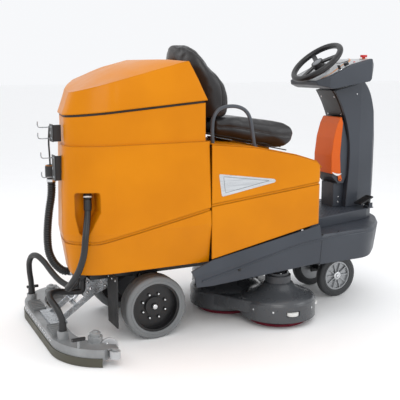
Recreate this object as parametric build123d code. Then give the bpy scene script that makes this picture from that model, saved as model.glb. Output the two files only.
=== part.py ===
from build123d import *
import math
import os

os.makedirs("parts", exist_ok=True)

# Ride-on floor scrubber. Millimetres, +X to the front, +Y to the driver's left, +Z up.
# Every X below is measured from the rear axle; save() moves it to the middle of the length.
axleToMiddle = 484

# ground contact
rearWheelR = 155
rearWheelIn = 200
rearWheelOut = 295
frontWheelX = 1172
frontWheelR = 122
frontWheelIn = 98
frontWheelOut = 146
shaftFit = 0.05

# frame
railIn = 140
railOut = 180
railBottom = 300
railTop = 340
trayTop = 346
frameRear = -290

# bodywork
bodyHalf = 385
shell = 6
tankBottom = 370
tankWaist = 560
tankShoulder = 950
seamX = 248
coverFront = 868
seatHinge = (876, 792)
gap = 2

# scrub deck
discR = 148
discs = {"centre": (530, 0), "right": (680, -290), "left": (680, 290)}
deckBottom = 34
deckTop = 125
lobeR = 195
padLow = 2
rollerAngles = (22, 98)
rollerR = 34
rollerLow = 72
rollerHigh = 90

# squeegee
squeegeeRear = -505
squeegeeFront = -405
castingLow = 30
portX = -462
portY = 300
liftPivot = (-165, 262)

# steering
steerTilt = 38.9
wheelHub = (1088, 0, 1313)
steeringR = 160
rimGrip = 16


def save(name, *solids):
    """Writes one named piece, moved to the frame whose origin is under the middle."""
    moved = [Pos(-axleToMiddle, 0, 0) * solid for solid in solids]
    export_step(moved[0] if len(moved) == 1 else Compound(children=moved), f"parts/{name}.step")


def block(x0, x1, y0, y1, z0, z1):
    centre = Pos((x0 + x1) / 2, (y0 + y1) / 2, (z0 + z1) / 2)
    return centre * Box(x1 - x0, y1 - y0, z1 - z0)


def rodX(radius, x0, x1, y, z):
    return Pos((x0 + x1) / 2, y, z) * Rot(0, 90, 0) * Cylinder(radius, x1 - x0)


def rodY(radius, y0, y1, x, z):
    return Pos(x, (y0 + y1) / 2, z) * Rot(90, 0, 0) * Cylinder(radius, y1 - y0)


def rodZ(radius, x, y, z0, z1):
    return Pos(x, y, (z0 + z1) / 2) * Cylinder(radius, z1 - z0)


def rodBetween(radius, start, end):
    axis = Vector(*end) - Vector(*start)
    middle = Vector(*start) + axis * 0.5
    return Plane(origin=middle, z_dir=axis) * Cylinder(radius, axis.length)


def sidePlate(points, y0, y1):
    """A plate with its outline in the XZ plane."""
    outline = make_face(Polyline(*[(x, y0, z) for x, z in points], close=True))
    return extrude(outline, amount=y1 - y0, dir=(0, 1, 0))


def planPlate(points, z0, z1):
    """A plate with its outline in plan."""
    outline = make_face(Polyline(*[(x, y, z0) for x, y in points], close=True))
    return extrude(outline, amount=z1 - z0, dir=(0, 0, 1))


def mirrored(shape):
    return mirror(shape, about=Plane.XZ)


def softened(shape, edges, radius):
    """Rounds edges, or leaves them sharp where the round does not fit."""
    for size in (radius, radius * 0.6, radius * 0.3):
        try:
            rounded = fillet(edges, size)
            if rounded.is_valid:
                return rounded
        except (ValueError, RuntimeError):
            continue
    return shape


# ---------------------------------------------------------------- frame and running gear

def mainFrame():
    frame = block(1000, 1040, -railOut, railOut, railBottom, railTop)
    for side in (-1, 1):
        low, high = sorted((side * railIn, side * railOut))
        frame += block(frameRear, 1040, low, high, railBottom, railTop)
        low, high = sorted((side * 175, side * 195))
        bracket = block(-45, 45, low, high, 100, 310)
        frame += bracket - rodY(16, low - 1, high + 1, 0, rearWheelR)
        low, high = sorted((side * 112, side * 120))
        frame += block(940, 1040, low, high, 212, 305)
    for x in (frameRear, 240):
        frame += block(x, x + 40, -railOut, railOut, railBottom, railTop)
    frame += block(290, 860, -330, 330, railTop, trayTop)
    frame += block(-230, 230, -230, 230, railTop, trayTop)
    frame += block(1030, frontWheelX + 60, -100, 100, 312, railTop)
    frame += rodZ(46, frontWheelX, 0, 275, railTop + 6)
    frame -= rodZ(25, frontWheelX, 0, 270, railTop + 10)
    for z in (232, 285):
        frame += rodY(6, -112, 112, 962, z)
    return frame


def driveMotors():
    motors = []
    for side in (-1, 1):
        low, high = sorted((side * 92, side * 175))
        motor = rodY(58, low, high, 0, rearWheelR)
        low, high = sorted((side * 175, side * 250))
        motors.append(motor + rodY(15, low, high, 0, rearWheelR))
    return motors


def rearWheel(side):
    """Tyre and deep-set rim of one drive wheel, built on the right and mirrored."""
    inner, outer = -rearWheelIn, -rearWheelOut
    width = rearWheelOut - rearWheelIn
    tyre = rodY(rearWheelR, outer, inner, 0, rearWheelR)
    tyre = softened(tyre, tyre.edges().filter_by(GeomType.CIRCLE), 11)
    tyre -= rodY(118, outer - 1, inner + 1, 0, rearWheelR)
    rim = rodY(118, outer + 8, inner - 6, 0, rearWheelR)
    rim -= rodY(109, outer, outer + 42, 0, rearWheelR)
    rim -= rodY(109, inner - 0.4 * width, inner + 1, 0, rearWheelR)
    rim += rodY(46, outer + 30, inner, 0, rearWheelR)
    rim += rodY(15, outer + 22, outer + 31, 0, rearWheelR)
    rim -= rodY(15 + shaftFit, -250.2, inner + 1, 0, rearWheelR)
    for step in range(8):
        angle = math.radians(22.5 + 45 * step)
        x, z = 62 * math.cos(angle), rearWheelR + 62 * math.sin(angle)
        rim += rodY(7, outer + 34, outer + 43, x, z)
    if side > 0:
        return mirrored(tyre), mirrored(rim)
    return tyre, rim


def steeringFork():
    fork = rodZ(25 - shaftFit, frontWheelX, 0, 262, 352)
    fork += rodZ(44, frontWheelX, 0, 250, 274.5)
    fork += block(frontWheelX - 34, frontWheelX + 34, -86, 86, 238, 252)
    for side in (-1, 1):
        low, high = sorted((side * 74, side * 86))
        fork += block(frontWheelX - 26, frontWheelX + 26, low, high, 92, 240)
    fork += rodY(14, -frontWheelOut + 14, frontWheelOut - 14, frontWheelX, frontWheelR)
    return fork


def frontWheel(side):
    inner, outer = -frontWheelIn, -frontWheelOut
    tyre = rodY(frontWheelR, outer, inner, frontWheelX, frontWheelR)
    tyre = softened(tyre, tyre.edges().filter_by(GeomType.CIRCLE), 9)
    tyre -= rodY(82, outer - 1, inner + 1, frontWheelX, frontWheelR)
    hub = rodY(82, outer + 5, inner - 4, frontWheelX, frontWheelR)
    hub -= rodY(74, outer, outer + 17, frontWheelX, frontWheelR)
    hub += rodY(24, outer + 4, inner, frontWheelX, frontWheelR)
    for step in range(10):
        angle = 36 * step
        rib = block(20, 76, outer + 8, inner - 8, -3, 3)
        hub += Pos(frontWheelX, 0, frontWheelR) * Rot(0, angle, 0) * rib
    hub -= rodY(14 + shaftFit, outer + 13.5, inner + 1, frontWheelX, frontWheelR)
    if side > 0:
        return mirrored(tyre), mirrored(hub)
    return tyre, hub


# ---------------------------------------------------------------- power

def batteryPack():
    cells = []
    for x in (312, 572):
        for y in (-300, 20):
            cell = block(x, x + 240, y, y + 280, trayTop, 640)
            cell += rodZ(12, x + 40, y + 50, 640, 655) + rodZ(12, x + 40, y + 230, 640, 655)
            cells.append(cell)
    return cells


# ---------------------------------------------------------------- tank and bodywork

def tankOutline(inset, z, back):
    """Plan of the tank, its front edge set back. The rear left corner makes room for the suction hose."""
    half = bodyHalf - inset
    front = seamX - gap / 2 - back
    rear = -436 + inset
    points = [(front, -half), (-220, -half), (rear + 6, -225), (-392 + inset, -30)]
    points += [(-296 + inset, 235 - inset * 0.5), (-150, half), (front, half)]
    runs = [
        Line(points[0], points[1]),
        Spline(points[1], points[2], tangents=((-1, 0), (0.18, 1)), tangent_scalars=(1.2, 1.2)),
        Spline(points[2], points[3], tangents=((0.18, 1), (0.36, 1)), tangent_scalars=(1, 1)),
        Spline(points[3], points[4], tangents=((0.36, 1), (0.5, 1)), tangent_scalars=(1, 1)),
        Spline(points[4], points[5], tangents=((0.5, 1), (1, 0)), tangent_scalars=(1, 1.2)),
        Line(points[5], points[6]),
        Line(points[6], points[0]),
    ]
    return Pos(0, 0, z) * make_face(Wire(runs))


def tankBody(inset):
    """Outside of the tank for inset 0, inside of its walls for inset = shell."""
    low = tankBottom + inset
    ledge = tankShoulder - inset
    waist = tankOutline(inset, tankWaist, inset)
    body = loft([tankOutline(inset + 30, low, inset), waist], ruled=True)
    body += loft([waist, tankOutline(inset + 12, ledge, inset + 6)], ruled=True)
    body += extrude(tankOutline(inset + 22, ledge, inset + 22), amount=190)
    return body


def rimZ(x):
    """Height of the tank's slanted rim."""
    return 1066 + 0.085 * (x + 500)


def tankTopCut():
    """Everything above the slanted rim of the tank."""
    points = [(-500, rimZ(-500)), (300, rimZ(300)), (300, 1300), (-500, 1300)]
    return sidePlate(points, -450, 450)


def hingeBarrel(x0, x1, radius):
    """Barrel of the lid hinge, along the left rim."""
    return rodBetween(radius, (x0, 371, rimZ(x0) + 6), (x1, 371, rimZ(x1) + 6))


def hoseRecess(grow):
    """Pocket in the right side that parks the end of the drain hose."""
    outline = [(-392 - grow, 748 + grow), (-292 + grow, 748 + grow), (-292 + grow, 660),
               (-345 + grow, 560 - grow), (-378 - grow, 560 - grow), (-392 - grow, 640)]
    pocket = sidePlate(outline, -440, -284 + grow)
    return softened(pocket, pocket.edges().filter_by(Axis.Y), 12)


def rearTank():
    tank = tankBody(0) - tankTopCut()
    tank -= hoseRecess(0)
    tank -= tankBody(shell) - hoseRecess(shell)
    for low, high in ((-50, -26), (26, 50)):
        tank += hingeBarrel(low, high, 6)
        tank += block(low + 1, high - 1, 360, 371, rimZ(low) - 14, rimZ(low) + 5)
    tank += hingeBarrel(-50, 50, 3)
    tank += rodZ(18, -366, -212, 352, tankBottom + 3)
    tank += rodBetween(24, (-380, -120, 826), (-442, -120, 826)) - tankBody(shell)
    tank += rodZ(24, -442, -120, 800, 850)
    slot = sidePlate([(-480, 514), (-300, 514), (260, 628), (260, 642), (-300, 528), (-480, 528)], -450, 450)
    tank -= slot - tankBody(4)
    return tank


def tankLid():
    """Domed cover of the tank, high at the front and low at the rear."""
    crown = [(196, 1200), (184, 1298), (150, 1330), (35, 1327), (-340, 1212), (-388, 1150)]
    profile = [(-430, rimZ(-430) + 8), (214, rimZ(214) + 8)] + crown
    lid = sidePlate(profile, -450, 450) & loft([tankOutline(14, 1060, 14), tankOutline(95, 1345, 95)], ruled=True)
    lid = softened(lid, lid.edges().filter_by(lambda e: e.center().Z > 1190), 18)
    inner = [(x * 0.97 - 3, z - 9) for x, z in crown]
    hollow = sidePlate([(-440, 1040), (230, 1040)] + inner, -450, 450)
    lid -= hollow & loft([tankOutline(22, 1060, 22), tankOutline(104, 1345, 104)], ruled=True)
    leaf = block(-25, 25, 352, 371, rimZ(0) + 11, rimZ(0) + 15)
    return lid + leaf + hingeBarrel(-25, 25, 6) - hingeBarrel(-30, 30, 3 + shaftFit)


def lidGasket():
    """Seal between the lid and the rim of the tank."""
    slab = sidePlate([(-500, rimZ(-500)), (300, rimZ(300)), (300, rimZ(300) + 8), (-500, rimZ(-500) + 8)],
                     -450, 450)
    outer = extrude(tankOutline(26.5, 1040, 26.5), amount=140)
    return (slab & outer) - extrude(tankOutline(34, 1040, 34), amount=140)


def vacuumUnit():
    """Suction motor on the tank floor beside its float basket."""
    motor = rodZ(75, 60, 150, tankBottom + shell, 560) + rodZ(95, 60, 150, 420, 520)
    basket = rodZ(60, 40, -150, tankBottom + shell, 900) - rodZ(56, 40, -150, 400, 901)
    ball = Pos(40, -150, 470) * Sphere(35)
    return [motor, basket + block(-10, 90, -154, -146, 398, 404), ball]


def coverProfile(drop):
    """Upper line of the battery cover, from the tank to the front."""
    points = [(seamX + gap / 2, 940), (474, 916), (714, 866), (836, 828), (coverFront, 795)]
    return [(x, z - drop) for x, z in points]


def coverInside(wall):
    """Room inside the battery cover, its front corners rounded with the outside."""
    room = block(200, coverFront - wall, wall - bodyHalf, bodyHalf - wall, 340, 1000)
    corners = room.edges().filter_by(Axis.Z).filter_by(lambda e: e.center().X > seamX)
    return fillet(corners, 22 - wall)


def batteryCover():
    lower = [(coverFront, 505), (828, 500), (seamX + gap / 2, 388)]
    cover = sidePlate(coverProfile(6) + lower, -bodyHalf, bodyHalf)
    cover = softened(cover, cover.edges().filter_by(lambda e: abs(e.center().X - coverFront) < 1
                     and abs(e.center().Y) > bodyHalf - 1), 22)
    cover -= coverInside(shell)
    groove = sidePlate([(240, 640), (880, 708), (880, 722), (240, 654)], -420, 420)
    cover -= groove - coverInside(4)
    cover -= block(855, 880, -41, 41, 786, 800)
    for low, high in ((-80, -41), (41, 80)):
        cover += rodY(6, low, high, *seatHinge) + block(867.5, 876, low, high, 768, 788)
    return cover + rodY(3, -80, 80, *seatHinge)


def seatZ(x, above):
    """Height of a line parallel to the seat deck's middle face."""
    return 916 - 50 / 240 * (x - 474) + above


def strip(x0, x1, y0, y1, low, high):
    """A bar that lies along the seat deck, between two heights above it."""
    points = [(x0, seatZ(x0, low)), (x1, seatZ(x1, low)), (x1, seatZ(x1, high)), (x0, seatZ(x0, high))]
    return sidePlate(points, y0, y1)


def seatDeck():
    """Top of the battery bay with the seat's slide rails. It tips forward on its front edge."""
    top = coverProfile(0)
    deck = sidePlate(top + [(x, z - 5.5) for x, z in reversed(top)], 3 - bodyHalf, bodyHalf - 3)
    deck += rodY(6, -40, 40, *seatHinge) + block(860, 876, -40, 40, 790, 795)
    deck -= rodY(3 + shaftFit, -41, 41, *seatHinge)
    return deck + strip(480, 710, -132, -112, -1, 9) + strip(480, 710, 112, 132, -1, 9)


def skirtSection(x, top, ridge, bottom):
    half = bodyHalf + 3
    points = [(half, top), (half + 18, ridge), (half + 4, bottom)]
    points += [(half - 2, bottom), (half + 11, ridge), (half - 6, top)]
    return make_face(Polyline(*[(x, -y, z) for y, z in points], close=True))


def sideSkirts():
    """Dark panels along the bottom of the body, in front of the drive wheels."""
    stations = [(112, 330, 310, 262), (250, 384, 336, 258), (866, 496, 428, 296)]
    skirt = loft([skirtSection(*s) for s in stations], ruled=True)
    tip = sidePlate([(100, 220), (178, 220), (138, 345), (100, 345)], -430, -370)
    skirt -= tip
    return [skirt, mirrored(skirt)]


def bumperPlan(inset):
    points = [(coverFront + 2 + inset * 0.2, -402 + inset), (1130, -392 + inset)]
    points += [(1300 - inset * 0.7, -300 + inset * 0.7), (1420 - inset, -160), (1468 - inset, 0)]
    mirror_points = [(x, -y) for x, y in points[::-1][1:]]
    runs = [Line(points[0], points[1]),
            Spline(*(points[1:] + mirror_points[:-1]), tangents=((1, 0.05), (-1, 0.05))),
            Line(mirror_points[-2], mirror_points[-1]), Line(mirror_points[-1], points[0])]
    return make_face(Wire(runs))


def frontBumper():
    """Moulded nose with the lower step, round the steered wheels."""
    nose = loft([Pos(0, 0, 285) * bumperPlan(20), Pos(0, 0, 425) * bumperPlan(0)], ruled=True)
    nose += loft([Pos(0, 0, 425) * bumperPlan(0), Pos(0, 0, 446) * bumperPlan(12)], ruled=True)
    inside = loft([Pos(0, 0, 280) * bumperPlan(27), Pos(0, 0, 425) * bumperPlan(7)], ruled=True)
    inside += extrude(Pos(0, 0, 425) * bumperPlan(14), amount=14)
    nose -= inside + block(coverFront - 5, 890, -374, 374, 280, 438)
    return nose


pedalPin = (1364, 520)


def footPlate():
    """Raised tread under the driver's feet, with the ears and the pin of the pedal."""
    near = [(coverFront + 3, -286), (960, -268), (1330, -176), (1388, -140)]
    outline = near + [(x, -y) for x, y in near[::-1]]
    plate = planPlate(outline, 446, 503)
    plate = softened(plate, plate.edges().filter_by(Axis.Z), 16)
    plate = softened(plate, plate.faces().sort_by(Axis.Z)[-1].edges(), 6)
    inner = [(x - 4 if x > 1300 else x + 6, y + 8) for x, y in near]
    plate -= planPlate(inner + [(x, -y) for x, y in inner[::-1]], 440, 496)
    plate += block(1345, 1382, -172, -128, 502, 508)
    for low, high in ((-172, -166), (-134, -128)):
        plate += block(1352, 1376, low, high, 506, 532)
    return plate + rodY(4, -168, -132, *pedalPin)


# ---------------------------------------------------------------- column and console

def columnProfile(inset):
    rear = [(1248, 503), (1262, 700), (1262, 868), (1222, 1026), (1150, 1160)]
    front = [(1352, 1206), (1400, 1150), (1447, 1010), (1480, 860), (1482, 720), (1462, 503)]
    rear = [(x + inset, z) for x, z in rear]
    front = [(x - inset, z) for x, z in front]
    return rear, front


def columnBody(inset, low, high):
    rear, front = columnProfile(inset)
    runs = [Line(*[(x, 0, z) for x, z in (rear[-1], front[0])]),
            Spline(*[(x, 0, z) for x, z in front]),
            Line(*[(x, 0, z) for x, z in (front[-1], rear[0])]),
            Spline(*[(x, 0, z) for x, z in rear])]
    side = extrude(make_face(Wire(runs)), amount=140, dir=(0, 1, 0), both=True)
    half = 92 - inset
    plan = [(1100, -half), (1330, -half), (1440 - inset, -70 + inset * 0.6), (1478 - inset, -36)]
    plan += [(x, -y) for x, y in plan[::-1]]
    return side & planPlate(plan, low, high)


def column():
    post = columnBody(0, 503, 1230)
    post -= columnBody(6, 497, 1190)
    post -= rodBetween(22, (1150, 0, 1236), (1276, 0, 1080))
    return post


consoleTop = [(1000, 1212), (1206, 1302), (1330, 1332), (1388, 1304)]
consoleLow = [(1380, 1276), (1318, 1210), (1084, 1172), (1008, 1192)]


def console():
    """Wedge-shaped control housing on top of the column."""
    body = sidePlate(consoleTop + consoleLow, -230, 230)
    plan = [(990, -116), (1060, -168), (1330, -176), (1386, -118), (1394, 0)]
    plan += [(x, -y) for x, y in plan[::-1][1:]]
    body = body & planPlate(plan, 1100, 1400)
    body = softened(body, body.edges().filter_by(lambda e: e.center().Z > 1250), 7)
    body -= columnBody(0, 503, 1230)
    body -= rodBetween(38, (1076, 0, 1328), (1126, 0, 1266))
    body -= rodBetween(24, (1070, 0, 1336), (1276, 0, 1080))
    body -= stopCut(0.3)
    body -= knobCut(0.3)
    body -= keyCut(0.3)
    return body


def panelPoint(x, y, above):
    """A point on the console's sloping face, a given height above it."""
    (x0, z0), (x1, z1), (x2, z2) = consoleTop[:3]
    if x <= x1:
        return (x, y, z0 + (z1 - z0) / (x1 - x0) * (x - x0) + above)
    return (x, y, z1 + (z2 - z1) / (x2 - x1) * (x - x1) + above)


stopAt = (1322, -108)
knobAt = (1192, -130)
keyAt = (1136, -148)
panelLean = (-0.4, 0, 0.9165)


def along(start, direction, distance):
    return tuple(a + b * distance for a, b in zip(start, direction))


def pressed(radius, place, direction, low, high):
    foot = panelPoint(*place, 0)
    return rodBetween(radius, along(foot, direction, low), along(foot, direction, high))


def stopCut(play):
    return pressed(9 + play, stopAt, (0, 0, 1), -26, 30)


def knobCut(play):
    return pressed(5 + play, knobAt, panelLean, -20, 30)


def keyCut(play):
    return pressed(7 + play, keyAt, panelLean, -22, 30)


def emergencyStop():
    return pressed(9, stopAt, (0, 0, 1), -14, 9) + pressed(19, stopAt, (0, 0, 1), 9, 22)


def speedKnob():
    return pressed(5, knobAt, panelLean, -14, 3) + pressed(14, knobAt, panelLean, 3, 17)


def keySwitch():
    foot = panelPoint(*keyAt, 0)
    grip = Plane(origin=along(foot, panelLean, 17), z_dir=panelLean) * Box(3, 22, 20)
    return pressed(7, keyAt, panelLean, -16, 8) + grip


def steeringWheel():
    """Three-spoke wheel with the upper steering shaft."""
    tilt = Pos(*wheelHub) * Rot(0, -steerTilt, 0)
    rim = Torus(steeringR - rimGrip, rimGrip)
    hub = Pos(0, 0, -12) * Cylinder(34, 26) + Pos(0, 0, -34) * Cylinder(26, 24)
    wheel = rim + hub
    for angle in (0, 120, 240):
        spoke = Pos(steeringR / 2, 0, -7) * Box(steeringR - 30, 26, 11)
        wheel += Rot(0, 0, angle + 60) * spoke
    wheel += Pos(0, 0, -120) * Cylinder(12, 190)
    return tilt * wheel


dosingHinge = (1212, 664)


def dosingHolder():
    """Dark holder on the driver's side of the column, on its post."""
    holder = sidePlate([(1200, 640), (1160, 680), (1161, 800), (1172, 896), (1194, 968), (1224, 996),
                        (1262, 868), (1262, 690), (1240, 640)], -76, 76)
    holder -= block(1150, 1228, -70, 70, 705, 940)
    holder += block(1186, 1262, -56, 56, 503, 641)
    holder -= columnBody(-0.4, 500, 1230)
    return holder + rodY(4, -84, 84, *dosingHinge)


def dosingCover():
    """Orange door over the detergent bottle, hinged at its lower edge."""
    points = [(1150, 700), (1148, 800), (1160, 900), (1182, 976), (1200, 1010)]
    inner = [(1208, 1014)] + [(x + 7, z) for x, z in points[-2::-1]]
    cover = sidePlate(points + inner, -80, 80)
    for side in (-1, 1):
        low, high = sorted((side * 77, side * 82))
        cheek = [(1150, 700), (1148, 800), (1160, 900), (1182, 976), (1200, 1010), (1208, 1014),
                 (1219, 980), (1212, 900), (1206, 800), (1214, 700), (1224, 664), (1216, 652),
                 (1202, 656), (1192, 700)]
        cover += sidePlate(cheek, low, high)
    return cover - rodY(4 + shaftFit, -90, 90, *dosingHinge)


def pedal():
    """Accelerator: pad on a crank."""
    tread = Pos(1330, -150, 548) * Rot(0, -24, 0) * Box(92, 60, 8)
    lever = sidePlate([(1350, 556), (1366, 562), (1371, 524), (1357, 522)], -156, -144)
    boss = rodY(9, -158, -142, *pedalPin)
    return tread + lever + boss - rodY(4 + shaftFit, -160, -140, *pedalPin)


# ---------------------------------------------------------------- seat

def seatCushion():
    base = [(345, seatZ(345, 26)), (760, seatZ(760, 26))]
    cushion = sidePlate(base + [(802, 906), (822, 948), (803, 985), (700, 1006), (440, 1042), (345, 1034)],
                        -228, 228)
    return softened(cushion, cushion.edges().filter_by(lambda e: abs(e.center().Y) > 227), 26)


def seatBackrest():
    side = [(330, 1045), (438, 1054), (450, 1150), (424, 1222), (360, 1290), (300, 1368),
            (262, 1400), (226, 1392), (214, 1350), (264, 1200), (292, 1084)]
    back = sidePlate(side, -228, 228)
    front = [(-228, 1000), (228, 1000), (228, 1215), (196, 1312), (118, 1402), (-118, 1402), (-196, 1312),
             (-228, 1215)]
    outline = make_face(Polyline(*[(200, y, z) for y, z in front], close=True))
    back = back & extrude(outline, amount=300, dir=(1, 0, 0))
    return softened(back, back.edges().filter_by(lambda e: abs(e.center().Y) > 140), 16)


def seatPan():
    """Steel pan with the back plate, the two slide runners and the latch pin."""
    pan = strip(322, 745, -190, 190, 20, 26)
    back = [(322, seatZ(322, 20)), (328, seatZ(328, 24)), (328, 1040), (290, 1078), (262, 1196),
            (213, 1344), (208, 1342), (256, 1194), (284, 1074), (322, 1036)]
    pan += sidePlate(back, -150, 150)
    for low, high in ((-132, -112), (112, 132)):
        pan += strip(500, 690, low, high, 9.6, 21)
    return pan + rodBetween(4, latchPoint(6), latchPoint(21))


def latchPoint(above):
    """A point on the pin that the seat latch turns on."""
    return (700 + 0.204 * above, -60, seatZ(700, 0.979 * above))


def seatLatch():
    lever = strip(686, 838, -66, -54, 8, 14) + strip(826, 838, -100, -20, 8, 14)
    return lever - rodBetween(4 + shaftFit, latchPoint(2), latchPoint(19))


def grabRails():
    """Bent hip rails at both sides of the seat."""
    rails = []
    for side in (-1, 1):
        y = side * 340
        path = FilletPolyline((275, y, 936), (272, y, 1044), (304, y, 1090), (384, y, 1104), (452, y, 1082),
                              (484, y, 1030), (500, y, 912), radius=40)
        rail = sweep(Plane(origin=path @ 0, z_dir=path % 0) * Circle(9), path=path)
        feet = rodBetween(16, (275, y, 938.4), (275, y, 944)) + rodBetween(16, (500, y, 912), (500, y, 919))
        deckTop = sidePlate(coverProfile(-0.0)[:3] + [(714, 700), (249, 700)], -bodyHalf, bodyHalf)
        rails.append(rail + feet - deckTop)
    return rails


# ---------------------------------------------------------------- scrub deck

lowPin = (790, 172)
highPin = (790, 225)
framePins = ((962, 232), (962, 285))


def deckLobes(inset, low, high):
    lobes = [rodZ(lobeR - inset, *discs[name], low, high) for name in discs]
    return lobes[0] + lobes[1] + lobes[2]


def deckHousing():
    housing = deckLobes(0, deckBottom, deckTop) + block(560, 800, -160, 160, 100, deckTop)
    housing = softened(housing, housing.faces().sort_by(Axis.Z)[-1].edges(), 10)
    housing -= deckLobes(6, deckBottom - 1, deckTop - 8)
    for name in discs:
        housing -= rodZ(12 + shaftFit, *discs[name], 100, 130)
    for side in (-1, 1):
        low, high = sorted((side * 110, side * 116))
        housing += block(772, 800, low, high, 110, 240)
        for angle in rollerAngles:
            x, y = rollerAt(side, angle)
            housing -= rodZ(rollerR + 4, x, y, rollerLow - 3, rollerHigh + 3)
        x, y = rollerAt(side, rollerAngles[0])
        housing += rodZ(12, x, y, rollerHigh + 3, deckTop - 4) + rodZ(5, x, y, rollerLow - 3, deckTop - 4)
    for pin in (lowPin, highPin):
        housing += rodY(6, -112, 112, *pin)
    return housing


def rollerAt(side, degrees):
    """Centre of a bump roller, set into the edge of an outer lobe."""
    angle = math.radians(degrees)
    x, y = discs["left"]
    reach = lobeR - 20
    return (x + reach * math.cos(angle), side * (y + reach * math.sin(angle)))


def bumpRoller(side):
    x, y = rollerAt(side, rollerAngles[0])
    roller = rodZ(rollerR, x, y, rollerLow, rollerHigh)
    roller = softened(roller, roller.edges().filter_by(GeomType.CIRCLE), 6)
    return roller - rodZ(5 + shaftFit, x, y, rollerLow - 1, rollerHigh + 1)


def brushMotors():
    motors = []
    for name in discs:
        motor = rodZ(66, *discs[name], deckTop, 236) + rodZ(56, *discs[name], 236, 250)
        motors.append(motor)
    return motors


def padDisc(name):
    """Pad driver with its shaft, and the scrub pad below it."""
    driver = rodZ(138, *discs[name], 14, 26) + rodZ(30, *discs[name], 26, 70)
    driver += rodZ(12, *discs[name], 70, deckTop - 0.5)
    return driver, rodZ(discR, *discs[name], padLow, 14)


def deckLink(pins, y0, y1):
    (x0, z0), (x1, z1) = pins
    bars = []
    for low, high in ((y0, y1), (-y1, -y0)):
        bar = rodY(13, low, high, x0, z0) + rodY(13, low, high, x1, z1)
        bar += sidePlate([(x0, z0 + 12), (x1, z1 + 12), (x1, z1 - 12), (x0, z0 - 12)], low, high)
        for x, z in pins:
            bar -= rodY(6 + shaftFit, low - 1, high + 1, x, z)
        bars.append(bar)
    return bars


# ---------------------------------------------------------------- squeegee

cylinderPin = (-215, 290)
rodPin = (-330, 150)
supportWheel = (-282, 402, 47)


def squeegeeEdge(x, y, endX, endY, grow):
    """Straight middle and forward-swept end of one long edge, as the arc's three points."""
    dx, dy = endX - x, endY - y
    radius = (dx * dx + dy * dy) / (2 * dx)
    turn = math.atan2(dy, radius - dx)
    reach = radius + grow
    points = []
    for share in (0, 0.5, 1):
        angle = turn * share
        points.append((x + radius - reach * math.cos(angle), y + reach * math.sin(angle)))
    return points


def squeegeePlan(z, grow=0):
    rear = squeegeeEdge(squeegeeRear, 250, -335, 505, grow)
    front = squeegeeEdge(squeegeeFront, 225, -265, 462, -grow)
    runs = []
    for side in (1, -1):
        r0, r1, r2 = [(x, side * y) for x, y in rear]
        f0, f1, f2 = [(x, side * y) for x, y in front]
        runs += [ThreePointArc(r0, r1, r2), Line(r2, f2), ThreePointArc(f2, f1, f0)]
    runs.append(Line((rear[0][0], -250), (rear[0][0], 250)))
    runs.append(Line((front[0][0], -225), (front[0][0], 225)))
    return Pos(0, 0, z) * make_face(Wire(runs))


def squeegeeHalf(side):
    """One cast half, with its hose port, rib row, dome, knob and wheel ears."""
    half = extrude(squeegeePlan(castingLow), amount=80 - castingLow)
    half = half & block(-600, -200, 1.5, 700, 0, 200)
    half += rodZ(25, portX, portY, 80, 122) + rodZ(33, -338, 385, 80, 104) + rodZ(24, -338, 385, 104, 118)
    half -= rodZ(19, portX, portY, castingLow - 1, 123)
    for step in range(9):
        if abs(130 + 25 * step - portY) > 30:
            half += block(-494, -430, 128 + 25 * step, 132 + 25 * step, 80, 98) & \
                extrude(squeegeePlan(70), amount=60)
    half += rodZ(7, -428, 430, 80, 112) + block(-458, -398, 423, 437, 112, 124)
    half -= rodY(50, 390, 414, supportWheel[0], supportWheel[2])
    for low, high in ((386, 390), (414, 418)):
        half += block(-345, -272, low, high, 44, 60)
    half += rodY(6, 386, 418, supportWheel[0], supportWheel[2])
    half += block(-318, -270, 470, 500, 72, 80) + rodZ(15, *guardAt, 72, 80) + rodZ(6, *guardAt, 30, 80)
    return half if side > 0 else mirrored(half)


guardAt = (-288, 508)


def squeegeeBody():
    return [squeegeeHalf(-1), squeegeeHalf(1)]


def squeegeeBlades():
    """Two rubber strips that follow the front and rear edges of the castings."""
    outside = extrude(squeegeePlan(2, 5), amount=castingLow + 8)
    ring = outside - extrude(squeegeePlan(0), amount=90)
    cutEnds = planPlate([(-345, 600), (-345, 497), (-255, 445), (-200, 445), (-200, 600)], 0, 100)
    ring = ring - cutEnds - mirrored(cutEnds)
    ring -= block(-380, -200, 380, 470, 0, 100) + block(-380, -200, -470, -380, 0, 100)
    return list(ring.solids())


def supportRoller(side):
    x, y, z = supportWheel
    wheel = rodY(45, y - 10, y + 10, x, z)
    wheel = softened(wheel, wheel.edges().filter_by(GeomType.CIRCLE), 5)
    wheel -= rodY(6 + shaftFit, y - 11, y + 11, x, z)
    return wheel if side > 0 else mirrored(wheel)


def guardRoller(side):
    roller = rodZ(24, *guardAt, 36, 70) - rodZ(6 + shaftFit, *guardAt, 30, 71)
    return roller if side > 0 else mirrored(roller)


def liftArm():
    """Two bars from the chassis pivot to the plate that joins the squeegee halves."""
    x, z = liftPivot
    arm = block(-470, -388, -112, 112, 80, 90) + rodY(8, -72, 72, *rodPin)
    for low, high in ((-78, -70), (70, 78)):
        bar = sidePlate([(x - 8, z + 12), (x + 9, z - 12), (-396, 82), (-440, 82)], low, high)
        bar += rodY(18, low, high, x, z)
        arm += bar
    return arm - rodY(8 + shaftFit, -100, 100, x, z)


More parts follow.
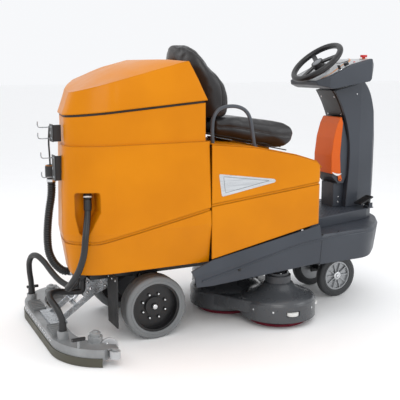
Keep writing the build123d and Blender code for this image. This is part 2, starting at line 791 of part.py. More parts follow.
def liftBracket():
    """Galvanised cheeks under the frame, with the arm pin and the cylinder pin."""
    x, z = liftPivot
    bracket = block(frameRear, -250, -96, 96, 292, railBottom)
    cheek = [(-300, 200), (-250, 196), (-140, 240), (-136, 292), (-165, railBottom), (-300, railBottom)]
    for low, high in ((-96, -90), (90, 96)):
        bracket += sidePlate(cheek, low, high) - rodY(7, low - 1, high + 1, -262, 232)
    bracket += rodY(8, -104, 104, x, z) + rodY(6, -90, 90, *cylinderPin)
    for side in (-1, 1):
        low, high = sorted((side * 96, side * 104))
        bracket += rodY(13, low, high, x, z)
    return bracket


def cylinderLine(distance):
    """A point between the two cylinder pins, measured from the upper one."""
    (x0, z0), (x1, z1) = cylinderPin, rodPin
    length = math.hypot(x1 - x0, z1 - z0)
    return (x0 + (x1 - x0) * distance / length, 0, z0 + (z1 - z0) * distance / length)


def liftCylinder():
    tube = rodBetween(16, cylinderLine(10), cylinderLine(112)) + rodY(14, -12, 12, *cylinderPin)
    tube -= rodBetween(8.4, cylinderLine(30), cylinderLine(113))
    return tube - rodY(6 + shaftFit, -13, 13, *cylinderPin)


def liftRod():
    reach = math.dist(cylinderPin, rodPin)
    rod = rodBetween(8, cylinderLine(62), cylinderLine(reach - 8)) + rodY(15, -10, 10, *rodPin)
    return rod - rodY(9.6, -11, 11, *rodPin)


def mudFlaps():
    return [block(-206, -200, railOut, 312, 90, railTop), block(-206, -200, -312, -railOut, 90, railTop)]


# ---------------------------------------------------------------- hoses

suctionRoute = [(-442, -120, 800), (-442, -120, 720), (-462, -121, 620), (-472, -122, 520),
                (-468, -122, 440), (-440, -116, 380), (-396, -110, 338), (-350, -110, 338)]
rightRoute = [(portX, -portY, 122), (portX, -portY, 170), (-478, -284, 220), (-498, -236, 254),
              (-488, -180, 262), (-445, -140, 256), (-395, -124, 242), (-350, -122, 235), (-312, -125, 235),
              (-312, -125, 290)]
leftRoute = [(portX, portY, 122), (portX, portY, 180), (-470, 296, 240), (-474, 278, 300), (-466, 240, 342),
             (-450, 190, 352), (-428, 140, 328), (-408, 92, 290), (-385, 38, 255), (-352, -22, 235),
             (-312, -75, 235), (-312, -75, 290)]
drainRoute = [(-334, -318, 716), (-340, -334, 650), (-368, -384, 560), (-378, -388, 480), (-396, -362, 402),
              (-420, -318, 338), (-426, -270, 304), (-404, -228, 292), (-366, -212, 300), (-366, -212, 352)]


def hose(route, radius):
    """A round tube through a route, each corner rounded as far as its runs allow."""
    points = [Vector(*p) for p in route]
    radii = []
    for before, here, after in zip(points, points[1:], points[2:]):
        turn = math.acos((here - before).normalized().dot((after - here).normalized()))
        shorter = min((here - before).length, (after - here).length)
        radii.append(0.45 * shorter / math.tan(turn / 2))
    path = FilletPolyline(*points, radius=radii)
    tube = sweep(Plane(origin=path @ 0, z_dir=path % 0) * Circle(radius), path=path)
    expected = math.pi * radius ** 2 * path.length
    print("hose radii", [round(r) for r in radii], "length", round(path.length),
          "volume ratio", round(tube.volume / expected, 4))
    return tube


def hoseJunction():
    """Manifold behind the frame that joins both squeegee hoses to the suction hose."""
    body = block(-335, frameRear, -148, -54, 305, 366)
    body += rodX(24, -350, -334, -110, 338) + rodZ(19, -312, -125, 290, 306) + rodZ(19, -312, -75, 290, 306)
    return body


def drainHose():
    """Hose from the tank's lowest point, parked in its pocket with a cap on the end."""
    top, below = drainRoute[:2]
    cap = rodBetween(19, top, tuple(a + (a - b) * 0.4 for a, b in zip(top, below)))
    return hose(drainRoute, 15) + cap


def hookPlates():
    """Tool holders at the back of the tank: two plates with wire hooks."""
    holders = []
    for low, high, y0, y1, tip in ((962, 1040, -205, -150, -505), (790, 905, -225, -172, -500)):
        plate = block(-450, -446, y0, y1, low, high) + block(-448, -380, y0, y0 + 4, low, high)
        for z in (low + 14, high - 14):
            path = FilletPolyline((-448, y1 - 10, z), (tip, y1 - 10, z), (tip, y1 - 10, z + 26), radius=9)
            plate += sweep(Plane(origin=path @ 0, z_dir=path % 0) * Circle(2.5), path=path)
        holders.append(plate - tankBody(0))
    return holders


# ---------------------------------------------------------------- write every piece

save("main_frame", mainFrame())
save("drive_motors", *driveMotors())
for word, sign in (("right", -1), ("left", 1)):
    tyre, rim = rearWheel(sign)
    save(f"drive_tyre_{word}", tyre)
    save(f"drive_rim_{word}", rim)
    tyre, hub = frontWheel(sign)
    save(f"front_tyre_{word}", tyre)
    save(f"front_hub_{word}", hub)
    save(f"bump_roller_{word}", bumpRoller(sign))
    save(f"support_wheel_{word}", supportRoller(sign))
    save(f"guard_roller_{word}", guardRoller(sign))
save("steering_fork", steeringFork())
save("battery_pack", *batteryPack())
save("rear_tank", rearTank())
save("tank_lid", tankLid())
save("lid_gasket", lidGasket())
save("vacuum_unit", *vacuumUnit())
save("battery_cover", batteryCover())
save("seat_deck", seatDeck())
save("side_skirts", *sideSkirts())
save("front_bumper", frontBumper())
save("foot_plate", footPlate())
save("column", column())
save("console", console())
save("emergency_stop", emergencyStop())
save("speed_knob", speedKnob())
save("key_switch", keySwitch())
save("steering_wheel", steeringWheel())
save("dosing_holder", dosingHolder())
save("dosing_cover", dosingCover())
save("pedal", pedal())
save("seat_cushion", seatCushion())
save("seat_backrest", seatBackrest())
save("seat_pan", seatPan())
save("seat_latch", seatLatch())
save("grab_rails", *grabRails())
save("deck_housing", deckHousing())
save("brush_motors", *brushMotors())
for name in discs:
    save(f"scrub_disc_{name}", *padDisc(name))
save("deck_link_lower", *deckLink((framePins[0], lowPin), 94, 104))
save("deck_link_upper", *deckLink((framePins[1], highPin), 74, 84))
save("squeegee_body", *squeegeeBody())
save("squeegee_blades", *squeegeeBlades())
save("lift_arm", liftArm())
save("lift_bracket", liftBracket())
save("lift_cylinder", liftCylinder())
save("lift_rod", liftRod())
save("mud_flaps", *mudFlaps())
save("suction_hose", hose(suctionRoute, 20) + hoseJunction())
save("squeegee_hose_right", hose(rightRoute, 15))
save("squeegee_hose_left", hose(leftRoute, 15))
save("drain_hose", drainHose())
save("hook_plates", *hookPlates())
print(len(os.listdir("parts")), "pieces")
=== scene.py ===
import math
import bpy
import bmesh
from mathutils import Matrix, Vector
from mathutils.bvhtree import BVHTree
from mathutils.kdtree import KDTree


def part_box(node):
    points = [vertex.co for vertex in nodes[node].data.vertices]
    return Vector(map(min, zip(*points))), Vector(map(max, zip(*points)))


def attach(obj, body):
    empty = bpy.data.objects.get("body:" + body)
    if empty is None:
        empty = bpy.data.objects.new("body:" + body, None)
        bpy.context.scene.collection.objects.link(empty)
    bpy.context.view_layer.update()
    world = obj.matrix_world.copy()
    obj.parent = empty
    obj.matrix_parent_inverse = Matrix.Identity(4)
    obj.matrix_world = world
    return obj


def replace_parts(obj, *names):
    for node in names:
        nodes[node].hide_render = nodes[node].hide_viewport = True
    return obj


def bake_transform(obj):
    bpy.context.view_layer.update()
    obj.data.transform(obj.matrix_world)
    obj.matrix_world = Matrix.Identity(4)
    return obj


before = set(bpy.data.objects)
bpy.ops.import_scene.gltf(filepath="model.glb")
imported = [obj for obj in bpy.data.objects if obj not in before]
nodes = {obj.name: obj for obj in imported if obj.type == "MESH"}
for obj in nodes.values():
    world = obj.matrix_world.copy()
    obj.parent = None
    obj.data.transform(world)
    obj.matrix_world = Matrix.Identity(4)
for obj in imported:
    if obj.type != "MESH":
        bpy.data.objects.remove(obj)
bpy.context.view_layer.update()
scene = bpy.context.scene

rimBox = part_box("drive_rim_right")
axleX = (rimBox[0][0] + rimBox[1][0]) / 2
mm = 0.001


def at(x, y, z):
    # millimetres from the rear axle, the machine's middle plane and the floor
    return Vector((axleX + x * mm, y * mm, z * mm))


camera = {"place": (-1.2580, -3.3411, 1.2958), "tilt": 79.41, "turn": -26.02, "lens": 64.8}


def setCamera():
    data = bpy.data.cameras.new("studioCamera")
    data.lens = camera["lens"]
    data.sensor_width = 36
    body = bpy.data.objects.new("studioCamera", data)
    x, y, z = camera["place"]
    body.location = (axleX + x, y, z)
    body.rotation_euler = (math.radians(camera["tilt"]), 0, math.radians(camera["turn"]))
    scene.collection.objects.link(body)
    scene.camera = body


studio = {
    "world": (0.97, 0.98, 1.0), "worldPower": 0.96,
    "lamps": [  # place, target, size, power, colour
        ((-1.6, -3.4, 3.6), (0.0, 0.0, 0.7), 2.4, 50, (1.0, 0.98, 0.95)),
        ((2.8, -2.4, 2.4), (0.3, 0.0, 0.7), 1.8, 22, (0.95, 0.98, 1.0)),
        ((-3.2, 1.8, 2.6), (0.0, 0.0, 0.8), 2.0, 20, (1.0, 1.0, 1.0)),
        ((0.2, 0.4, 4.2), (0.0, 0.0, 0.6), 3.0, 18, (1.0, 1.0, 1.0)),
    ],
    "floor": 90.0,
}


def setStudio():
    world = bpy.data.worlds.new("paleStudio")
    world.use_nodes = True
    sky = world.node_tree.nodes["Background"]
    sky.inputs["Color"].default_value = (*studio["world"], 1)
    sky.inputs["Strength"].default_value = studio["worldPower"]
    scene.world = world
    scene.view_settings.view_transform = "Standard"
    for place, target, size, power, colour in studio["lamps"]:
        data = bpy.data.lights.new("softbox", "AREA")
        data.size = size
        data.energy = power
        data.color = colour
        lamp = bpy.data.objects.new("softbox", data)
        lamp.location = place
        lamp.rotation_euler = (Vector(target) - Vector(place)).to_track_quat("-Z", "Y").to_euler()
        scene.collection.objects.link(lamp)


def newFinish(name):
    finish = bpy.data.materials.new(name)
    finish.use_nodes = True
    tree = finish.node_tree
    return finish, tree, tree.nodes["Principled BSDF"]


def addNode(tree, kind, **sockets):
    node = tree.nodes.new(kind)
    for key, value in sockets.items():
        node.inputs[key.replace("_", " ")].default_value = value
    return node


def place(tree, scale):
    # solid coordinates in the machine's frame
    source = tree.nodes.new("ShaderNodeTexCoord")
    mapping = tree.nodes.new("ShaderNodeMapping")
    mapping.inputs["Scale"].default_value = scale if isinstance(scale, tuple) else (scale,) * 3
    tree.links.new(source.outputs["Object"], mapping.inputs["Vector"])
    return mapping.outputs["Vector"]


def cloudy(tree, scale, detail=3.0, rough=0.55):
    noise = addNode(tree, "ShaderNodeTexNoise", Detail=detail, Roughness=rough, Scale=1.0)
    tree.links.new(place(tree, scale), noise.inputs["Vector"])
    return noise.outputs["Fac"]


def ramp(tree, factor, low, high, lowAt=0.35, highAt=0.65):
    node = tree.nodes.new("ShaderNodeValToRGB")
    node.color_ramp.elements[0].position = lowAt
    node.color_ramp.elements[1].position = highAt
    node.color_ramp.elements[0].color = (*low, 1) if len(low) == 3 else low
    node.color_ramp.elements[1].color = (*high, 1) if len(high) == 3 else high
    tree.links.new(factor, node.inputs["Fac"])
    return node.outputs["Color"]


def raised(tree, shader, height, strength, distance, edge=0.0):
    # bump from a height, over edges that look rounded off
    bump = addNode(tree, "ShaderNodeBump", Strength=strength, Distance=distance)
    tree.links.new(height, bump.inputs["Height"])
    if edge:
        rounding = tree.nodes.new("ShaderNodeBevel")
        rounding.samples = 4
        rounding.inputs["Radius"].default_value = edge
        tree.links.new(rounding.outputs["Normal"], bump.inputs["Normal"])
    tree.links.new(bump.outputs["Normal"], shader.inputs["Normal"])


def moulded(name, colour, shade, rough, grain=260, depth=0.0004, strength=0.25, edge=0.006, coat=0.0,
            patch=3.0, metal=0.0, shine=0.5):
    # plastic or paint: slow drift of tone, fine grain, uneven gloss
    finish, tree, shader = newFinish(name)
    drift = cloudy(tree, patch)
    tree.links.new(ramp(tree, drift, shade, colour), shader.inputs["Base Color"])
    fine = cloudy(tree, grain, 2.0)
    raised(tree, shader, fine, strength, depth, edge)
    gloss = ramp(tree, cloudy(tree, patch * 4), (rough * 0.9,) * 3, (min(1, rough * 1.12),) * 3)
    tree.links.new(gloss, shader.inputs["Roughness"])
    shader.inputs["Metallic"].default_value = metal
    shader.inputs["Specular IOR Level"].default_value = shine
    shader.inputs["Coat Weight"].default_value = coat
    shader.inputs["Coat Roughness"].default_value = 0.12
    return finish


def galvanised(name, colour, shade, rough):
    # zinc with its crystal patches
    finish, tree, shader = newFinish(name)
    cells = addNode(tree, "ShaderNodeTexVoronoi", Scale=1.0)
    tree.links.new(place(tree, 95.0), cells.inputs["Vector"])
    split = tree.nodes.new("ShaderNodeSeparateColor")
    tree.links.new(cells.outputs["Color"], split.inputs["Color"])
    tree.links.new(ramp(tree, split.outputs["Red"], shade, colour, 0.1, 0.9), shader.inputs["Base Color"])
    tree.links.new(ramp(tree, split.outputs["Green"], (rough * 0.8,) * 3, (rough * 1.2,) * 3),
                   shader.inputs["Roughness"])
    raised(tree, shader, cloudy(tree, 500, 2.0), 0.1, 0.0002, 0.001)
    shader.inputs["Metallic"].default_value = 0.85
    return finish


def brushed(name, colour, shade, rough, along=(8, 400, 400)):
    finish, tree, shader = newFinish(name)
    streak = cloudy(tree, along, 2.0)
    tree.links.new(ramp(tree, streak, shade, colour), shader.inputs["Base Color"])
    tree.links.new(ramp(tree, streak, (rough * 0.8,) * 3, (rough * 1.25,) * 3), shader.inputs["Roughness"])
    raised(tree, shader, streak, 0.08, 0.0002, 0.0008)
    shader.inputs["Metallic"].default_value = 0.9
    return finish


def hide(name, colour, shade, rough):
    # leather: pebbled cells with creases between them
    finish, tree, shader = newFinish(name)
    cells = addNode(tree, "ShaderNodeTexVoronoi", Scale=1.0)
    cells.feature = "DISTANCE_TO_EDGE"
    tree.links.new(place(tree, 420.0), cells.inputs["Vector"])
    pebble = ramp(tree, cells.outputs["Distance"], (0, 0, 0), (1, 1, 1), 0.0, 0.22)
    tree.links.new(ramp(tree, cloudy(tree, 9.0), shade, colour), shader.inputs["Base Color"])
    tree.links.new(ramp(tree, cloudy(tree, 30.0), (rough * 0.85,) * 3, (rough * 1.15,) * 3),
                   shader.inputs["Roughness"])
    raised(tree, shader, pebble, 0.22, 0.0006)
    shader.inputs["Sheen Weight"].default_value = 0.05
    return finish


def fibrous(name, colour, shade):
    # non-woven scrub pad
    finish, tree, shader = newFinish(name)
    web = cloudy(tree, 700.0, 6.0, 0.8)
    tree.links.new(ramp(tree, web, shade, colour, 0.3, 0.7), shader.inputs["Base Color"])
    shader.inputs["Roughness"].default_value = 0.95
    raised(tree, shader, web, 0.9, 0.002)
    return finish


finishes = {
    "yellow": moulded("yellowMoulding", (0.635, 0.212, 0.0004), (0.575, 0.184, 0.0002), 0.33, 900, 0.0002, 0.10, 0.009,
                      0.04, shine=0.14),
    "orange": moulded("doorOrange", (0.66, 0.110, 0.0010), (0.60, 0.09, 0.0008), 0.34, 900, 0.0002, 0.10, 0.005, 0.10,
                      shine=0.28),
    "blueGrey": moulded("darkMoulding", (0.036, 0.043, 0.056), (0.027, 0.033, 0.044), 0.44, 1300, 0.0004, 0.35,
                        0.007),
    "blackPlastic": moulded("blackPlastic", (0.009, 0.009, 0.010), (0.006, 0.006, 0.007), 0.38, 1200, 0.0003, 0.3,
                            0.002),
    "frame": moulded("framePaint", (0.017, 0.018, 0.020), (0.011, 0.012, 0.013), 0.42, 600, 0.0003, 0.2, 0.003),
    "motor": moulded("motorPaint", (0.055, 0.058, 0.064), (0.036, 0.038, 0.043), 0.40, 500, 0.0003, 0.2, 0.004),
    "battery": moulded("batteryCase", (0.03, 0.03, 0.034), (0.02, 0.02, 0.022), 0.5, 600, 0.0004, 0.3, 0.003),
    "rail": moulded("railPaint", (0.060, 0.067, 0.080), (0.046, 0.052, 0.062), 0.33, 700, 0.0002, 0.15, 0.0),
    "deck": moulded("deckPaint", (0.060, 0.064, 0.070), (0.045, 0.048, 0.053), 0.27, 900, 0.0003, 0.2, 0.010, 0.25),
    "greyTyre": moulded("greyTyre", (0.20, 0.208, 0.212), (0.165, 0.172, 0.176), 0.62, 800, 0.0006, 0.45, 0.0),
    "darkTyre": moulded("darkTyre", (0.052, 0.054, 0.057), (0.040, 0.042, 0.044), 0.60, 800, 0.0006, 0.45, 0.0),
    "blackRim": moulded("blackRim", (0.010, 0.010, 0.011), (0.006, 0.006, 0.007), 0.36, 700, 0.0003, 0.2, 0.002),
    "silverHub": moulded("silverHub", (0.42, 0.43, 0.44), (0.34, 0.35, 0.36), 0.38, 500, 0.0003, 0.15, 0.002,
                         metal=0.55),
    "roller": moulded("rollerWhite", (0.72, 0.72, 0.70), (0.64, 0.64, 0.62), 0.36, 700, 0.0003, 0.15, 0.002),
    "rollerGrey": moulded("rollerGrey", (0.50, 0.51, 0.52), (0.42, 0.43, 0.44), 0.40, 700, 0.0003, 0.2, 0.002),
    "cast": moulded("castMetal", (0.33, 0.34, 0.345), (0.23, 0.237, 0.242), 0.40, 420, 0.0005, 0.35, 0.003, patch=9.0,
                    metal=0.35),
    "bladeRubber": moulded("bladeRubber", (0.085, 0.080, 0.055), (0.055, 0.052, 0.036), 0.55, 500, 0.0004, 0.3, 0.001),
    "blackRubber": moulded("blackRubber", (0.018, 0.018, 0.019), (0.011, 0.011, 0.012), 0.55, 600, 0.0004, 0.3, 0.001),
    "hose": moulded("hoseBlack", (0.016, 0.017, 0.018), (0.010, 0.010, 0.011), 0.40, 700, 0.0003, 0.25, 0.0),
    "zinc": galvanised("galvanisedSteel", (0.46, 0.48, 0.50), (0.31, 0.325, 0.34), 0.34),
    "bright": brushed("brightSteel", (0.76, 0.77, 0.78), (0.62, 0.63, 0.64), 0.20),
    "wedge": brushed("wedgeMetal", (0.66, 0.68, 0.70), (0.52, 0.54, 0.56), 0.30),
    "red": moulded("stopRed", (0.62, 0.012, 0.010), (0.52, 0.009, 0.008), 0.26, 600, 0.0002, 0.1, 0.001, 0.3),
    "panel": moulded("panelGrey", (0.46, 0.475, 0.485), (0.40, 0.415, 0.425), 0.34, 900, 0.0002, 0.1, 0.0),
    "panelRing": moulded("panelRing", (0.20, 0.21, 0.225), (0.16, 0.17, 0.185), 0.34, 900, 0.0002, 0.1, 0.0),
    "screen": moulded("screenBlack", (0.010, 0.012, 0.014), (0.007, 0.008, 0.010), 0.12, 900, 0.0001, 0.05, 0.0, 0.5),
    "white": moulded("whiteTrim", (0.78, 0.78, 0.77), (0.70, 0.70, 0.69), 0.35, 700, 0.0002, 0.1, 0.0),
    "leather": hide("seatLeather", (0.013, 0.012, 0.013), (0.008, 0.007, 0.008), 0.33),
    "pad": fibrous("scrubPad", (0.26, 0.018, 0.040), (0.12, 0.008, 0.020)),
}

nodeFinish = {
    "yellow": ["rear_tank", "tank_lid", "battery_cover", "seat_deck"],
    "orange": ["dosing_cover"],
    "blueGrey": ["side_skirts", "front_bumper", "foot_plate", "column", "console", "dosing_holder"],
    "frame": ["main_frame", "deck_link_lower", "deck_link_upper", "steering_fork", "hook_plates", "seat_pan"],
    "motor": ["drive_motors", "brush_motors", "vacuum_unit"],
    "battery": ["battery_pack"],
    "greyTyre": ["drive_tyre_right", "drive_tyre_left"],
    "darkTyre": ["front_tyre_right", "front_tyre_left"],
    "blackRim": ["drive_rim_right", "drive_rim_left"],
    "silverHub": ["front_hub_right", "front_hub_left"],
    "deck": ["deck_housing"],
    "pad": ["scrub_disc_centre", "scrub_disc_right", "scrub_disc_left"],
    "roller": ["bump_roller_right", "bump_roller_left"],
    "cast": ["squeegee_body"],
    "bladeRubber": ["squeegee_blades"],
    "blackRubber": ["mud_flaps", "lid_gasket"],
    "rollerGrey": ["support_wheel_right", "support_wheel_left", "guard_roller_right", "guard_roller_left"],
    "zinc": ["lift_bracket", "lift_arm", "lift_cylinder"],
    "bright": ["lift_rod"],
    "blackPlastic": ["steering_wheel", "speed_knob", "key_switch", "pedal", "seat_latch"],
    "red": ["emergency_stop"],
    "leather": ["seat_cushion", "seat_backrest"],
    "rail": ["grab_rails"],
    "hose": ["suction_hose", "squeegee_hose_right", "squeegee_hose_left", "drain_hose"],
}


def dressNodes():
    for finish, names in nodeFinish.items():
        for name in names:
            mesh = nodes[name].data
            mesh.materials.clear()
            mesh.materials.append(finishes[finish])


def joined(*shapes):
    points, faces = [], []
    for somePoints, someFaces in shapes:
        first = len(points)
        points += somePoints
        faces += [tuple(first + i for i in face) for face in someFaces]
    return points, faces


def turned(profile, origin, axis, steps=48):
    # lathe: profile of (radius, height along the axis) in millimetres
    up = Vector(axis).normalized()
    side = up.orthogonal().normalized()
    other = up.cross(side)
    points, faces = [], []
    for radius, height in profile:
        for i in range(steps):
            angle = 2 * math.pi * i / steps
            out = side * math.cos(angle) + other * math.sin(angle)
            points.append(origin + (up * height + out * max(radius, 0.0005)) * mm)
    for row in range(len(profile) - 1):
        for i in range(steps):
            j = (i + 1) % steps
            faces.append((row * steps + i, row * steps + j, (row + 1) * steps + j, (row + 1) * steps + i))
    return points, faces


def capped(radius, low, high, soft, origin, axis, steps=40):
    # a turned disc or stub with rounded rims
    profile = [(0, low), (radius - soft, low), (radius - soft * 0.3, low + soft * 0.3), (radius, low + soft),
               (radius, high - soft), (radius - soft * 0.3, high - soft * 0.3), (radius - soft, high), (0, high)]
    return turned(profile, origin, axis, steps)


def piped(path, radius, sides=14, radii=None, closed=False):
    # round tube along points
    count = len(path)
    points, faces = [], []
    before = None
    for i, here in enumerate(path):
        a = path[(i - 1) % count] if closed or i else here
        b = path[(i + 1) % count] if closed or i < count - 1 else here
        ahead = (b - a).normalized()
        if before is None:
            side = ahead.orthogonal().normalized()
        else:
            side = (before - ahead * before.dot(ahead)).normalized()
        before = side
        other = ahead.cross(side)
        size = (radii[i] if radii else radius) * mm
        for k in range(sides):
            angle = 2 * math.pi * k / sides
            points.append(here + (side * math.cos(angle) + other * math.sin(angle)) * size)
    rows = count if closed else count - 1
    for i in range(rows):
        for k in range(sides):
            n = (k + 1) % sides
            low, high = i * sides, ((i + 1) % count) * sides
            faces.append((low + k, low + n, high + n, high + k))
    if not closed:
        faces.append(tuple(range(sides))[::-1])
        faces.append(tuple((count - 1) * sides + k for k in range(sides)))
    return points, faces


def extruded(outline, push):
    count = len(outline)
    points = list(outline) + [p + push for p in outline]
    faces = [tuple(range(count))[::-1], tuple(range(count, 2 * count))]
    faces += [(i, (i + 1) % count, count + (i + 1) % count, count + i) for i in range(count)]
    return points, faces


def brick(x0, x1, y0, y1, z0, z1):
    outline = [at(x0, y0, z0), at(x1, y0, z0), at(x1, y1, z0), at(x0, y1, z0)]
    return extruded(outline, Vector((0, 0, (z1 - z0) * mm)))


def roundedOutline(corners, radius, steps=5):
    # corner points in a plane, each cut back and turned through a short curve
    outline = []
    count = len(corners)
    for i, here in enumerate(corners):
        a, b = corners[i - 1], corners[(i + 1) % count]
        reach = min(radius * mm, (a - here).length * 0.45, (b - here).length * 0.45)
        start = here + (a - here).normalized() * reach
        end = here + (b - here).normalized() * reach
        for k in range(steps + 1):
            t = k / steps
            outline.append(start * (1 - t) ** 2 + here * 2 * t * (1 - t) + end * t ** 2)
    return outline


def addPiece(name, shape, body, finish, soft=0.0, smooth=True, steps=2):
    points, faces = shape
    mesh = bpy.data.meshes.new(name)
    mesh.from_pydata([tuple(p) for p in points], [], faces)
    tidy = bmesh.new()
    tidy.from_mesh(mesh)
    bmesh.ops.remove_doubles(tidy, verts=tidy.verts, dist=0.00003)
    bmesh.ops.recalc_face_normals(tidy, faces=tidy.faces)
    tidy.to_mesh(mesh)
    tidy.free()
    mesh.materials.append(finishes[finish])
    for face in mesh.polygons:
        face.use_smooth = smooth
    piece = bpy.data.objects.new(name, mesh)
    scene.collection.objects.link(piece)
    if soft:
        rounding = piece.modifiers.new("softEdges", "BEVEL")
        rounding.width = soft * mm
        rounding.segments = steps
        rounding.limit_method = "ANGLE"
        rounding.angle_limit = math.radians(35)
        rounding.harden_normals = False
    if smooth:
        bySharp(mesh)
    if body:
        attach(piece, body)
    return piece


def bySharp(mesh, limit=40):
    # smooth shading that keeps real corners
    edges = bmesh.new()
    edges.from_mesh(mesh)
    for edge in edges.edges:
        if len(edge.link_faces) == 2 and edge.calc_face_angle(0) > math.radians(limit):
            edge.smooth = False
    edges.to_mesh(mesh)
    edges.free()


hoses = {
    "suction": [(-442, -120, 800), (-442, -120, 720), (-462, -121, 620), (-472, -122, 520), (-468, -122, 440),
                (-440, -116, 380), (-396, -110, 338), (-350, -110, 338)],
    "right": [(-462, -300, 122), (-462, -300, 170), (-478, -284, 220), (-498, -236, 254), (-488, -180, 262),
              (-445, -140, 256), (-395, -124, 242), (-350, -122, 235), (-312, -125, 235), (-312, -125, 290)],
    "left": [(-462, 300, 122), (-462, 300, 180), (-470, 296, 240), (-474, 278, 300), (-466, 240, 342),
             (-450, 190, 352), (-428, 140, 328), (-408, 92, 290), (-385, 38, 255), (-352, -22, 235),
             (-312, -75, 235), (-312, -75, 290)],
    "drain": [(-334, -318, 716), (-340, -334, 650), (-368, -384, 560), (-378, -388, 480), (-396, -362, 402),
              (-420, -318, 338), (-426, -270, 304), (-404, -228, 292), (-366, -212, 300), (-366, -212, 352)],
    "ribPitch": 11.0, "step": 1.375,
}


def hosePath(name, step):
    # straight runs joined by curves that use 0.45 of the shorter run at each corner
    corners = [at(*p) for p in hoses[name]]
    rough = [corners[0]]
    for before, here, after in zip(corners, corners[1:], corners[2:]):
        reach = 0.45 * min((here - before).length, (after - here).length)
        start = here + (before - here).normalized() * reach
        end = here + (after - here).normalized() * reach
        rough += [start * (1 - t) ** 2 + here * 2 * t * (1 - t) + end * t ** 2 for t in [k / 12 for k in range(13)]]
    rough.append(corners[-1])
    lengths = [0.0]
    for a, b in zip(rough, rough[1:]):
        lengths.append(lengths[-1] + (b - a).length)
    count = max(2, round(lengths[-1] / (step * mm)))
    path, i = [], 0
    for k in range(count + 1):
        want = lengths[-1] * k / count
        while i < len(lengths) - 2 and lengths[i + 1] < want:
            i += 1
        span = lengths[i + 1] - lengths[i]
        share = (want - lengths[i]) / span if span else 0
        path.append(rough[i].lerp(rough[i + 1], share))
    return path


def ribbedHose(name, low, high, pitch, plain=16):
    # corrugated wall, with plain cuffs at both ends
    path = hosePath(name, hoses["step"])
    radii = []
    for i in range(len(path)):
        far = min(i, len(path) - 1 - i) * hoses["step"]
        wave = 0.5 + 0.5 * math.cos(2 * math.pi * i * hoses["step"] / pitch)
        radii.append(high if far < plain else low + (high - low) * wave ** 0.6)
    return piped(path, high, 20, radii)


def addHoses():
    manifold = extruded(roundedOutline([at(-334, -147, 306), at(-290.5, -147, 306), at(-290.5, -55, 306),
                                        at(-334, -55, 306)], 12), Vector((0, 0, 59 * mm)))
    sockets = [turned([(0, 0), (21.5, 0), (23.5, 2), (23.5, 14), (0, 14)], at(-350, -110, 338), (1, 0, 0)),
               turned([(0, 0), (17, 0), (18.5, 2), (18.5, 16), (0, 16)], at(-312, -125, 290), (0, 0, 1)),
               turned([(0, 0), (17, 0), (18.5, 2), (18.5, 16), (0, 16)], at(-312, -75, 290), (0, 0, 1))]
    big = addPiece("corrugatedHose", joined(ribbedHose("suction", 15.4, 19.6, hoses["ribPitch"]), manifold, *sockets),
                   "chassis", "hose")
    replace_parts(big, "suction_hose")
    for side in ("right", "left"):
        tube = addPiece(f"squeegeeHose_{side}", ribbedHose(side, 14.3, 14.9, 7.0, 30), None, "hose")
        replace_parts(tube, f"squeegee_hose_{side}")
        if side == "right":
            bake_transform(tube)
        else:
            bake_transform(tube)
        sign = -1 if side == "right" else 1
        cuff = turned([(15.2, 0), (17.5, 1), (18.5, 6), (17.2, 12), (17.2, 34), (15.2, 38)], at(-462, sign * 300, 120),
                      (0, 0, 1))
        addPiece(f"hoseCuff_{side}", cuff, "squeegee", "blackRubber")
    low, high = at(*hoses["drain"][1]), at(*hoses["drain"][0])
    up = (high - low).normalized()
    tube = ribbedHose("drain", 14.4, 14.9, 7.0, 40)
    sleeve = turned([(14.8, -52), (17.4, -50), (18.2, -30), (18.2, -4), (15.5, -1)], high, up)
    cap = turned([(15, 0), (18.4, 1), (18.8, 4), (18.8, 22), (17.5, 26), (12, 29), (0, 30)], high, up)
    drain = addPiece("parkedDrainHose", joined(tube, sleeve, cap), "chassis", "hose")
    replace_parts(drain, "drain_hose")
    ring = turned([(18.6, 6), (19.2, 7), (19.2, 12), (18.6, 13)], high, up)
    addPiece("drainCapRing", ring, "chassis", "white")
    elbow = turned([(25, -3), (26.5, 0), (26.5, 44), (24.5, 50), (16, 54), (0, 55)], at(-442, -120, 798), (0, 0, 1))
    branch = turned([(24.6, 0), (26.2, 2), (26.2, 44), (24.6, 46)], at(-442, -120, 826), (1, 0, 0))
    addPiece("outletElbow", joined(elbow, branch), "chassis", "blackRubber")
    # clips that hold the drain hose low down
    addPiece("hoseClips", joined(turned([(15.2, -5), (17, -5), (17, 5), (15.2, 5)], at(-366, -212, 338), (0, 0, 1)),
                                 turned([(20, -5), (22, -5), (22, 5), (20, 5)], at(-368, -110, 338), (1, 0, 0)),
                                 turned([(20, -6), (22, -6), (22, 6), (20, 6)], at(-442, -120, 780), (0, 0, 1))),
             "chassis", "bright")


seat = {
    "voxel": 0.006, "pressure": 4.0, "frames": 20, "cap": 0.012, "shrink": 0.99,
    "settle": 9, "slack": 0.003, "seamDepth": 0.0048, "seamWidth": 0.012, "pipe": 2.4, "fill": 0.8,
}


backLevels = [  # height, half width, rear, front, how far the bolsters stand forward
    (1046, 202, 300, 452, 10), (1064, 218, 292, 462, 28), (1100, 228, 284, 466, 48), (1150, 228, 272, 464, 60),
    (1206, 226, 256, 444, 62), (1250, 218, 244, 408, 50), (1293, 204, 232, 366, 36), (1335, 182, 222, 334, 24),
    (1370, 150, 216, 308, 14), (1392, 106, 216, 292, 6), (1404, 60, 226, 276, 0),
]


